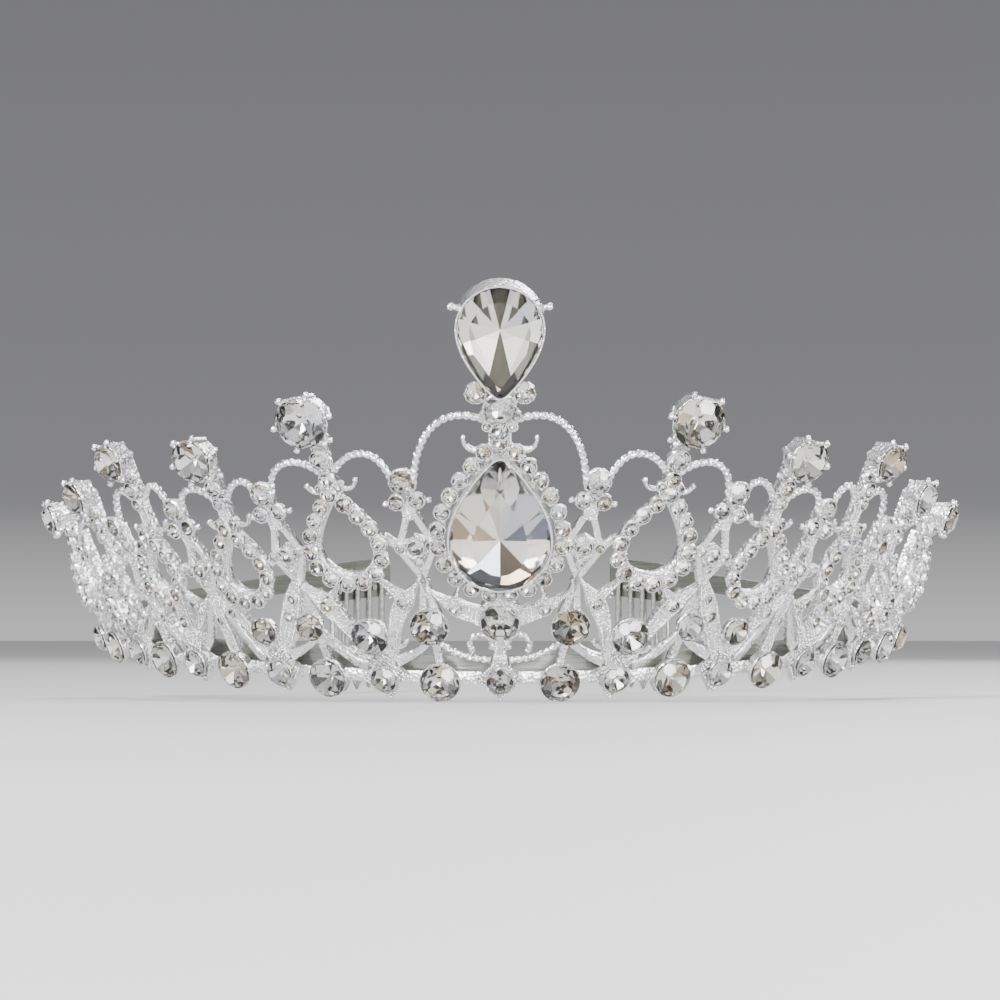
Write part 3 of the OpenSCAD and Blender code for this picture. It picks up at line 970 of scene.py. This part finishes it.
beadMesh = keep(ball(draw["bead"], (0, 0, 0)))
grainMesh = keep(ball(draw["grain"], (0, 0, 0)))


def addBeads(path, places, step=draw["beadStep"], out=0.0):
    count = max(2, int(pathLength(path) / step))
    for point in evenly(path, count):
        for place in places:
            beads.add(beadMesh, place @ at(point.x, point.y, out))


def offsetPath(path, width):
    last = len(path) - 1
    moved = []
    for index, point in enumerate(path):
        ahead = (path[min(index + 1, last)] - path[max(index - 1, 0)]).normalized()
        moved.append(point + Vector((-ahead.y, ahead.x)) * spread(width, index / last) / 2)
    return moved


# Rows of grains over a leaf's sunk face, a little uneven as in the casting
def addGrains(path, widths, places, free=()):
    out = draw["face"] - draw["sunk"] + draw["grainLift"]
    lift = draw["grainLift"]
    shift = draw["grainShift"]
    count = max(2, int(pathLength(path) / draw["grainStep"]))
    last = len(path) - 1
    for index, point in enumerate(evenly(path, count)):
        share = index / count
        before = path[max(0, round(share * last) - 1)]
        after = path[min(last, round(share * last) + 1)]
        ahead = (after - before).normalized()
        width = spread(widths, share) - 2 * draw["rim"] - draw["grain"]
        rows = max(1, int(width / draw["grainStep"]) + 1)
        for row in range(rows):
            offset = 0 if rows == 1 else width * (row / (rows - 1) - 0.5)
            stray = Vector((dice.uniform(-shift, shift), dice.uniform(-shift, shift)))
            spot = point + Vector((-ahead.y, ahead.x)) * offset + stray
            if any((spot - Vector(middle)).length < size / 2 for middle, size in free):
                continue
            for place in places:
                height = out + dice.uniform(-lift, lift)
                grains.add(grainMesh, place @ at(spot.x, spot.y, height))


# The outline moved inward, by less where the shape is narrow, so that it never folds over
def shrunk(outline, amount, share=0.3):
    count = len(outline)
    area = sum(outline[index - 1].cross(outline[index]) for index in range(count))
    inner = []
    for index, point in enumerate(outline):
        after = outline[(index + 1) % count]
        ahead = (point - outline[index - 1]).normalized() + (after - point).normalized()
        into = Vector((-ahead.y, ahead.x)).normalized() * (1 if area > 0 else -1)
        far = point + into * amount / share
        room = amount
        for other in range(count):
            if other in (index, (index + 1) % count):
                continue
            hit = intersect_line_line_2d(point, far, outline[other - 1], outline[other])
            if hit:
                room = min(room, (hit - point).length * share)
        inner.append(point + into * room)
    return inner


# A flat plate with a raised rim round a sunk face, and a row of beads along the rim
def addPlate(outline, places, low=draw["low"], high=draw["face"]):
    shape = prism(outline, low, high)
    top = max(shape.faces, key=lambda face: face.calc_center_median().z)
    bmesh.ops.inset_region(shape, faces=[top], thickness=0)
    edge = shrunk(outline, draw["rim"])
    for vert in top.verts:
        flat = vert.co.to_2d()
        index = min(range(len(outline)), key=lambda index: (flat - outline[index]).length)
        vert.co = (*edge[index], high - draw["sunk"])
    openwork.add(keep(shape), *places)
    addBeads(edge + edge[:1], places, out=high - 0.02)


def bowed(start, end, pull):
    start = Vector(start)
    end = Vector(end)
    corner = ((start + end) / 2).lerp(Vector(pull), 0.5)
    return bend([start, start.lerp(corner, 0.67), end.lerp(corner, 0.67), end], 3)


# A leaf that widens from its foot to a star with two points and a stone at its heart
leaf = {
    "notch": 1.75,
    "bow": 0.5,
    "innerBow": 0.6,
    "clear": 1.15,
    "rayShares": (0.3, 0.5, 0.75),
    "rayWidths": (2.6, 1.4, 0.8),
}


def addStarLeaf(stem, heart, tip, sideTip, places, size, stone, widths):
    heart, tip, sideTip = (Vector(p) for p in (heart, tip, sideTip))
    widths = [w * size for w in widths]
    path = bend([*stem, heart], 6)
    left = offsetPath(path, widths)
    right = offsetPath(path, [-w for w in widths])
    ahead = (tip - heart).normalized()
    aside = (sideTip - heart).normalized()
    notch = heart + (ahead + aside).normalized() * leaf["notch"] * size
    near, far = (tip, sideTip) if ahead.cross(aside) > 0 else (sideTip, tip)
    outline = right[:-1]
    outline += bowed(right[-1], near, heart.lerp(near, leaf["bow"]))[:-1]
    outline += bowed(near, notch, heart.lerp(near, leaf["innerBow"]))[:-1]
    outline += bowed(notch, far, heart.lerp(far, leaf["innerBow"]))[:-1]
    outline += bowed(far, left[-1], heart.lerp(far, leaf["bow"]))[:-1]
    outline += left[::-1]
    addPlate(outline, places)
    free = [(heart, stone * leaf["clear"])]
    addGrains(path, widths, places, free)
    for point in (near, far):
        ray = [heart.lerp(point, share) for share in leaf["rayShares"]]
        addGrains(ray, [w * size for w in leaf["rayWidths"]], places, free)
    addSmall(stone, heart.x, heart.y, places, draw["stoneSunk"])


# A grained bar along a path, with small stones at shares of its length
def addBar(path, widths, places, stones=()):
    addPlate(offsetPath(path, widths) + offsetPath(path, [-w for w in widths])[::-1], places)
    free = []
    for share, size in stones:
        if len(path) == 2:
            spot = path[0].lerp(path[-1], share)
        else:
            spot = path[round(share * (len(path) - 1))]
        addSmall(size, spot.x, spot.y, places, draw["stoneSunk"])
        free.append((spot, size * 1.1))
    addGrains(path, widths, places, free)


# A tapered hook that ends in a knob
def addHook(path, places, width, knob):
    addRod(path, [width * 1.3, width, width * 0.85], places, draw["thick"] * 0.8)
    end = path[-1]
    openwork.add(keep(ball(knob, (end.x, end.y, draw["level"] + 0.1), 2)), *places)


def addCup(size, along, up, places, raised=0.0):
    mesh = cupMesh(size, raised)
    for place in places:
        cups.add(mesh, place @ at(along, up))


# The diamond plates along the band, with a large and two small grains at each corner
def addLozenge(places):
    half = setting["lozengeHalf"]
    low = setting["lozengeLow"]
    addPlate(mirrored((0, -low), (half, 0), (0, half)), places, -0.7, 0.4)
    addCup(setting["lozengeStone"], 0, 0, places)
    corners = [(0, -low * 0.76), (half * 0.76, 0), (0, half * 0.78), (-half * 0.76, 0)]
    for place in places:
        for x, y in corners:
            grains.add(grainMesh, place @ at(x, y, 0.32) @ Matrix.Scale(1.7, 4))
            for way in (-1, 1):
                beside = at(x * 0.8 + way * y * 0.16, y * 0.8 + way * x * 0.16, 0.3)
                grains.add(grainMesh, place @ beside)


# The claw settings of the spires' top stones
clawShape = {
    "count": 6,
    "turn": -5,
    "wire": 0.8,
    "widths": (1.5, 1.2, 1.0, 0.8),
    "ball": 0.56,
    "finger": 0.32,
    "pin": 0.5,
}


def addBasket(size, up, places):
    raised = setting["spireRaise"]
    addCup(size, 0, up, places, raised)
    top = girdleHeight(size) + raised
    tip = size / 2 + setting["clawReach"] - clawShape["ball"] - 0.6
    ballLevel = top - 0.3
    reach = [size * 0.33, size * 0.42, size / 2 + 0.3, tip]
    height = [-0.6, raised * 0.6, top - 0.75, ballLevel]
    widths = [clawShape["wire"] * share for share in clawShape["widths"]]
    for index in range(clawShape["count"]):
        turn = math.radians(360 / clawShape["count"] * index + clawShape["turn"])
        out = Vector((math.cos(turn), math.sin(turn), 0))
        path = [out * r + Vector((0, up, z)) for r, z in zip(reach, height)]
        clawWork.add(keep(rod(path, widths, None, 0, roundSection(6))), *places)
        end = out * tip + Vector((0, up, ballLevel))
        clawWork.add(keep(ball(clawShape["ball"], end, 2)), *places)
        finger = out * (size / 2 + 0.1) + Vector((0, up, top - 0.02))
        clawWork.add(keep(ball(clawShape["finger"], finger, 1)), *places)


def addPin(along, up, out, places):
    clawWork.add(keep(ball(clawShape["pin"], (along, up, out), 2)), *places)


# A ring round a drop-shaped hole, with small stones that stand out past its rim
def addHalo(width, height, middle, places, size, count, reach, raised, pointed):
    wide = reach + 0.15
    ring = dropPath(width, height, 40, pointed, wide / 2, middle)
    thick = draw["thick"] + raised * 0.3
    level = draw["level"] + raised * 0.8
    openwork.add(keep(rod(ring, wide, thick, level, slabSection, 0, True)), *places)
    edge = dropPath(width, height, 60, pointed, 0.26, middle)
    addBeads(edge, places, 0.46, raised)
    for point in evenly(dropPath(width, height, 80, pointed, reach, middle), count):
        addSmall(size, point.x, point.y, places, raised + 0.05)


def arch(root, tip, rise, count=10):
    reach = tip[0] - root[0]
    return bend([
        Vector(root),
        Vector((root[0] + reach * 0.35, root[1] + rise)),
        Vector((root[0] + reach * 0.95, root[1] + rise)),
        Vector(tip),
    ], count)


leafShape = {
    "fullLength": 17,
    "stone": 2.6,
    "smallest": 1.9,
    "frontStem": [(1.2, 3.0), (3.2, 5.6), (3.4, 9.0)],
    "frontWidths": (2.5, 1.8, 3.2),
    "sideWidths": (2.1, 1.4, 2.8),
}


# The leaf that joins a spire to the crossing of its neighbour's lattice
def addJoin(index, column, way, link, places):
    crossing = between(column, link, 0, link["lattice"] - link["half"])
    foot = Vector((way * 1.1, 2.6))
    if index == 1 and way < 0:
        path = bend([foot, foot.lerp(crossing, 0.4), foot.lerp(crossing, 0.7), crossing], 8)
        addBar(path, [2.2, 3.2, 3.4, 1.6], places, [(0.45, 2.4), (0.72, 2.0)])
        return
    size = min(1.0, (crossing - foot).length / leafShape["fullLength"])
    heart = foot.lerp(crossing, 0.67) + Vector((-way * 1.0, 0.5)) * size
    low = column["ring"] - column["holeHeight"] / 2 - column["ringStone"]
    sideTip = Vector((way * column["holeWidth"] * 0.3, low + 1.9))
    if index < len(middles):
        stem = across(way, *leafShape["frontStem"])
    else:
        stem = [foot, foot.lerp(heart, 0.4), foot.lerp(heart, 0.7)]
    widths = leafShape["sideWidths"] if index else leafShape["frontWidths"]
    stone = max(leafShape["smallest"], leafShape["stone"] * size)
    addStarLeaf(stem, heart, crossing, sideTip, places, size, stone, widths)


spireRing = {"wider": 0.6, "taller": 0.4, "point": 0.75, "lift": 0.9, "pitch": 0.95}


# One spire: diamond, ring of small stones, neck and claw setting, two leaves, arches and hooks
for index, column in enumerate(spires):
    places = placesOf(column)
    ring = column["ring"]
    stone = column["ringStone"]
    wide = column["holeWidth"] + spireRing["wider"]
    tall = column["holeHeight"] + spireRing["taller"]
    addLozenge(places)
    around = pathLength(dropPath(wide, tall, 60, spireRing["point"], column["ringReach"]))
    count = round(around / (stone * spireRing["pitch"]))
    reach = column["ringReach"]
    addHalo(wide, tall, ring, places, stone, count, reach, spireRing["lift"], spireRing["point"])
    ringTop = ring + column["holeHeight"] / 2
    ringLow = ring - column["holeHeight"] / 2 - stone
    neck = column["neck"]
    slim = min(1.0, column["topStone"] / 7.5)
    addBar(
        across(1, (0, ringTop + 0.6), (0, (ringTop + neck) / 2), (0, column["top"])),
        [width * slim for width in (3.2, 2.7, 3.2)], places,
    )
    neckStone = column["neckStone"]
    addSmall(neckStone + 0.3, 0, neck, places, 0.15)
    addSmall(neckStone * 0.8, 0, neck - neckStone * 0.9, places, 0.05)
    underTop = column["top"] - column["topStone"] / 2
    for way in (-1, 1):
        addSmall(2.0, way * 1.5, underTop - 0.1, places, 0.2)
        addPin(way * 2.5, underTop - 0.5, 0.3, places)
        if neck - ringTop > 5:
            addSmall(2.1, way * 1.55, ringTop + 2.6, places, 0.0)
    addBasket(column["topStone"], column["top"], places)

    for way, link in zip((-1, 1), links[index:index + 2]):
        addJoin(index, column, way, link, places)
        crown = between(column, link, -way * 1.7, link["trefoil"] - 0.9)
        addRope(arch((way * 1.3, neck - 2.4), crown, 3.6), places)
        horn = ringTop + 2.0
        path = across(way, (1.5, horn), (2.9, horn - 0.7), (3.7, horn - 0.3), (4.3, horn + 1.0))
        addHook(bend(path, 5), places, 0.75, 0.48)
    if index == len(spires) - 1:
        addRope(arch((1.2, neck - 1.5), (6, 7), 1.5), places)
        addBar(across(1, (1, 2.5), (3.5, 5), (6, 7)), [2.0, 2.2, 1.2], places, [(0.5, 1.9)])
    if index < len(middles):
        row = middles[index]
        addCup(row["hollow"], 0, row["hollowHeight"], places)
        addBar(across(1, (0, 2), (0, 4), (0, row["hollowHeight"])), [4.6, 3.0, 2.0], places)
        for way in (-1, 1):
            path = across(way, (2.4, 4.9), (3.4, 4.3), (4.1, 4.5), (5.0, 5.5))
            addHook(bend(path, 6), places, 0.8, 0.42)
    else:
        path = across(1, (0, 2.4), (0, (ringLow + 3.5) / 2), (0, ringLow + 1.5))
        addBar(path, [2.6, 3.2, 2.6], places, [(0.5, 2.4)])
print("spires drawn")


# Between two spires: base stone, lattice with its stones, and trefoil
for index, column in enumerate(links):
    places = placesOf(column)
    addCup(column["base"], 0, 0, places)
    middle = column["lattice"]
    low = middle - column["half"]
    high = middle + column["half"]
    half = max(2.3, column["half"] * 0.6)
    for way in (-1, 1):
        path = across(way, (-0.5, low - 1.4), (0.2, low), (half, middle), (0.5, high + 1.2))
        addSlab(path, 1.15, places)
    belt = column["half"] * 0.42
    addPlate(mirrored(
        (0, middle - belt * 1.3), (half * 0.85, middle - 0.4),
        (half * 0.8, middle + belt * 0.5), (0, middle + belt * 1.1),
    ), places)
    big = min(3.2, column["half"] * 0.66)
    addSmall(big, 0, middle + 0.3, places, -0.15)
    for way in (-1, 1):
        addSmall(big * 0.66, way * (half - 0.45), middle + belt * 0.2, places, -0.2)
    addSmall(big * 0.6, 0, middle - belt * 1.15, places, -0.2)
    trefoil = column["trefoil"]
    addBar(across(1, (0, high + 0.2), (0, trefoil)), [2.4, 2.6], places)
    addSmall(column["trefoilStone"] + 0.5, 0, trefoil, places, 0.15)
    for way in (-1, 1):
        addSmall(3.1, way * 1.65, trefoil - 3.5, places, 0.05)
        addPin(way * 3.6, trefoil - 3.8, 0.0, places)
    if index < len(middles):
        row = middles[index]
        stem = row["linkHeight"] - row["link"] / 2
        addCup(row["link"], 0, row["linkHeight"], places)
        for way in (-1, 1):
            path = across(way, (row["link"] * 0.2, row["linkHeight"] + 1), (-0.1, low - 0.2))
            addSlab(path, [1.4, 1.1], places)
    else:
        stem = low
        addBar(across(1, (0, 2.6), (0, low)), [2.2, 2.0], places, [(0.55, 1.9)] if low > 6 else ())
    addSlab(across(1, (0, 2), (0, stem + 0.5)), 1.4, places, 1.3)
    for way, neighbour in ((-1, spires[index - 1] if index else {}), (1, spires[index])):
        foot = between(column, neighbour, -way * 2.4, 2.2)
        if index or way > 0:
            knee = foot + Vector((-way * 2.2, 0.6))
            path = [foot, knee, *across(way, (1.6, stem - 1.6), (0.3, stem + 0.4))]
            addSlab(bend(path, 8), [1.9, 1.3, 1.2], places)
        if neighbour:
            along = -way * (neighbour["holeWidth"] / 2 + 2.2)
            side = between(column, neighbour, along, neighbour["ring"] - 1.0)
            addSlab([Vector((way * half * 0.9, middle)), side], [1.3, 1.1], places)
print("links drawn")


# The centre spire
centreShape = {
    "ringGrow": 1.6,
    "ring": (3.0, 23, 1.25, 0.2),  # size, count, reach and lift of its stones
    "navette": [  # the plate round the middle stone, up one side
        (0, -4.0), (1.6, -3.4), (3.1, -1.9), (3.6, 0.2), (3.0, 2.2), (1.6, 3.8), (0, 5.2),
    ],
    "sideStones": [(3.9, 3.9, 50.8, 0.2), (2.1, 2.5, 46.9, 0.4), (1.9, 2.1, 45.1, 0.3)],
    "hook": [(3.7, 40.4), (4.8, 40.2), (5.8, 41.0), (5.9, 42.6)],
    "sweep": [(1.6, 3.0), (4.6, 3.4), (7.6, 3.6)],
    "leafStem": [(0, 0), (1.8, 0.6), (3.4, 1.2)],
    "leafHeart": (7.2, 12.6),
    "leafTip": (12.0, 15.9),
    "leafSideTip": (6.6, 16.9),
}
places = [centrePlate]
stoneHigh = centre["stoneHeight"]
addLozenge(places)
addCup(centre["stone"], 0, stoneHigh, places)
navette = mirrored(*[(x, y + stoneHigh) for x, y in centreShape["navette"]])
addPlate(navette, places, high=0.6)
addBar(across(1, (0, 2.6), (0, 5.0), (0, stoneHigh - 3)), [2.6, 1.8, 2.2], places)
grow = centreShape["ringGrow"]
addHalo(
    centre["pearWidth"] + grow, centre["pearHeight"] + grow, pearMiddle, places,
    *centreShape["ring"], centre["pearPoint"],
)
pearTop = centre["pearLow"] + centre["pearHeight"]
path = across(1, (0, pearTop + 0.4), (0, 45), (0, centre["topLow"] + 3))
addBar(path, [3.8, 3.6, 5.2], places)
addSmall(3.4, 0, 44.3, places, 0.2)
addSmall(centre["collar"] + 0.8, 0, centre["collarHeight"] + 0.2, places, 0.5)
for way in (-1, 1):
    for size, along, up, out in centreShape["sideStones"]:
        addSmall(size, way * along, up, places, out)
    addSlab(across(way, (1.6, 49.0), (3.8, 50.6)), 1.8, places, draw["thick"])
    crown = between({}, links[0], -1.7, links[0]["trefoil"] - 0.6)
    addRope(arch((way * 2.0, 45.4), (way * crown.x, crown.y), 2.2, 14), places)
    addHook(bend(across(way, *centreShape["hook"]), 8), places, 0.95, 0.42)
    stem = between({}, links[0], 0, middles[0]["linkHeight"] - middles[0]["link"] / 2)
    path = across(way, *centreShape["sweep"], (stem.x, stem.y + 0.4))
    addRope(bend(path, 12), places, 1.0)
    turns = range(205, -46, -25)
    curl = [(3.05 + 1.85 * cosOf(turn), 5.9 + 1.85 * sinOf(turn)) for turn in turns]
    addRope(across(way, *curl), places, 0.95)
    root = Vector((way * 2.4, stoneHigh - 0.2))
    addStarLeaf(
        [root + step for step in across(way, *centreShape["leafStem"])],
        *across(way, centreShape["leafHeart"], centreShape["leafTip"], centreShape["leafSideTip"]),
        places, 0.92, 2.7, (3.4, 3.0, 3.0),
    )


# A thin wall round each pear
def pearRim(width, height, place):
    top = pearCupHeight(width)
    foot = 0.5
    path = dropPath(width, height, 64, centre["pearPoint"], 0.24)
    level = top / 2 - foot / 2
    wall = rod(path, 0.34, top + foot, level, slabSection, 0, True)
    cups.add(keep(wall), place)


pearRim(centre["pearWidth"], centre["pearHeight"], centreSeat)
pearRim(centre["topWidth"], centre["topHeight"], topSeat)
height = pearCupHeight(centre["topWidth"])
prongSpots = [(5.6, 65.6), (6.7, 65.9), (7.8, 66.3)]
levels = [0.2, height * 0.6, height - 0.7]
for way in (-1, 1):
    path = [Vector((way * x, y, z)) for (x, y), z in zip(prongSpots, levels)]
    prong = rod(path, [1.2, 1.0, 0.9], None, 0, roundSection(6))
    clawWork.add(keep(prong), centrePlate)
    clawWork.add(keep(ball(0.62, path[-1], 2)), centrePlate)
print("centre drawn")


# The plain bar that joins the base stones
barSteps = 60
barRadius = band["radius"] - band["plate"] + band["barDepth"] / 2
barAngles = [band["barReach"] * (2 * step / barSteps - 1) for step in range(barSteps + 1)]
barPath = [Vector((barRadius * sinOf(angle), -barRadius * cosOf(angle))) for angle in barAngles]
openwork.add(keep(rod(barPath, band["barDepth"], band["barHeight"], 0, slabSection)), standing)

for piece in (openwork, wires, cups, smallCups):
    piece.finish()
smallStones.finish(randomFoilOrReflectionTone)
for piece in (beads, grains, clawWork):
    piece.finish()
print("casting finished")


# Combs: hairpins of round wire laced through the end plates
def hairpin(index):
    run = toothRun(index)
    quarter = comb["pitch"] * 0.25
    back = armPoint(run - quarter)
    fore = armPoint(run + quarter)
    low = armPoint(run)
    heading = armHeading + math.degrees((run - armTotal + plateLength) / strip["armRadius"])
    outward = Vector((sinOf(heading), -cosOf(heading)))
    off = outward * (strip["thick"] / 2 + comb["wire"] / 2 + comb["gap"])
    bendOut = outward * comb["bend"]
    tip = comb["tipRise"] - comb["drop"]
    return [Vector((*flat, level)) for flat, level in (
        (back + off, comb["holeTop"]),
        (back - off, comb["holeTop"]),
        (back - off, comb["holeTop"] - comb["bend"]),
        (low - bendOut, tip),
        (low, comb["wire"] / 2 - comb["drop"]),
        (low + bendOut, tip),
        (fore + off, comb["holeLow"] - comb["bend"]),
        (fore + off, comb["holeLow"]),
        (fore - off, comb["holeLow"]),
    )]


for side, sign in sides.items():
    piece = Piece(f"comb_{side}_wires", [wireSilver], "comb_wire", [f"comb_{side}"])
    for index in range(comb["teeth"]):
        shape = keep(rod(hairpin(index), comb["wire"], None, 0, roundSection(comb["sides"])))
        piece.add(shape, standing @ Matrix.Diagonal((sign, 1, 1, 1)))
    piece.finish()
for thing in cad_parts.values():
    if thing.name.startswith("headband"):
        thing.data.materials.clear()
        thing.data.materials.append(steel)
print("combs made")

# Floor, light and camera; the sky goes by direction, from straight down to straight up
skyStops = [
    (0.0, (0.6, 0.6, 0.6)), (0.5, (0.6, 0.6, 0.6)), (0.512, (0.24, 0.24, 0.25)),
    (0.6, (0.16, 0.16, 0.17)), (0.75, (0.5, 0.5, 0.52)), (0.9, (1.0, 1.0, 1.0)),
]
bpy.ops.mesh.primitive_plane_add(size=8, location=(0, 0, 0))
floor = bpy.context.object
floor.name = "floor"
floorLook = {"Base Color": (0.47, 0.47, 0.475, 1), "Roughness": 0.6}
floor.data.materials.append(newMaterial("paleFloor", floorLook)[0])

world = bpy.data.worlds.new("studio")
bpy.context.scene.world = world
world.use_nodes = True
nodes = world.node_tree.nodes
direction = nodes.new("ShaderNodeTexCoord")
split = nodes.new("ShaderNodeSeparateXYZ")
rise = setInputs(nodes.new("ShaderNodeMapRange"), {"From Min": -1.0})
join(direction, "Generated", split, "Vector")
join(split, "Z", rise, "Value")
sky = ramp(nodes, rise, "Result", skyStops)
toFront = {"From Min": 0.1, "From Max": -0.6}
ahead = setInputs(nodes.new("ShaderNodeMapRange"), toFront)
join(split, "Y", ahead, "Value")
glow = nodes.new("ShaderNodeMix")
glow.data_type = "RGBA"
setInputs(glow, {"B": (0.5, 0.5, 0.51, 1)})
join(ahead, "Result", glow, "Factor")
join(sky, "Color", glow, "A")
join(glow, "Result", nodes["Background"], "Color")
setInputs(nodes["Background"], {"Strength": 1.0})


def aimed(spot, target):
    return (Vector(target) - Vector(spot)).to_track_quat("-Z", "Y").to_euler()


def softbox(name, spot, size, power):
    light = bpy.data.lights.new(name, "AREA")
    light.shape = "RECTANGLE"
    light.size = size[0]
    light.size_y = size[1]
    light.energy = power
    lamp = newObject(name, light)
    lamp.location = spot
    lamp.rotation_euler = aimed(spot, (0, -0.03, 0.04))


softbox("keyLight", (-0.5, -0.8, 0.55), (0.35, 0.25), 20)
softbox("fillLight", (0.75, -0.65, 0.3), (0.25, 0.35), 12)
softbox("lowLight", (0.15, -1.15, 0.14), (0.6, 0.14), 11)
softbox("topLight", (0.0, -0.15, 1.0), (0.5, 0.35), 8)
softbox("backLight", (0.3, 0.9, 0.5), (0.35, 0.25), 5)

view = {"distance": 0.907, "lens": 190.0, "height": 0.012, "aim": (0.0, 0.0, 0.034), "sensor": 36}
eye = Vector((0, -view["distance"], view["height"]))
camera = newObject("camera", bpy.data.cameras.new("camera"))
camera.location = eye
camera.data.lens = view["lens"]
camera.data.sensor_width = view["sensor"]
camera.rotation_euler = aimed(eye, view["aim"])
bpy.context.scene.camera = camera
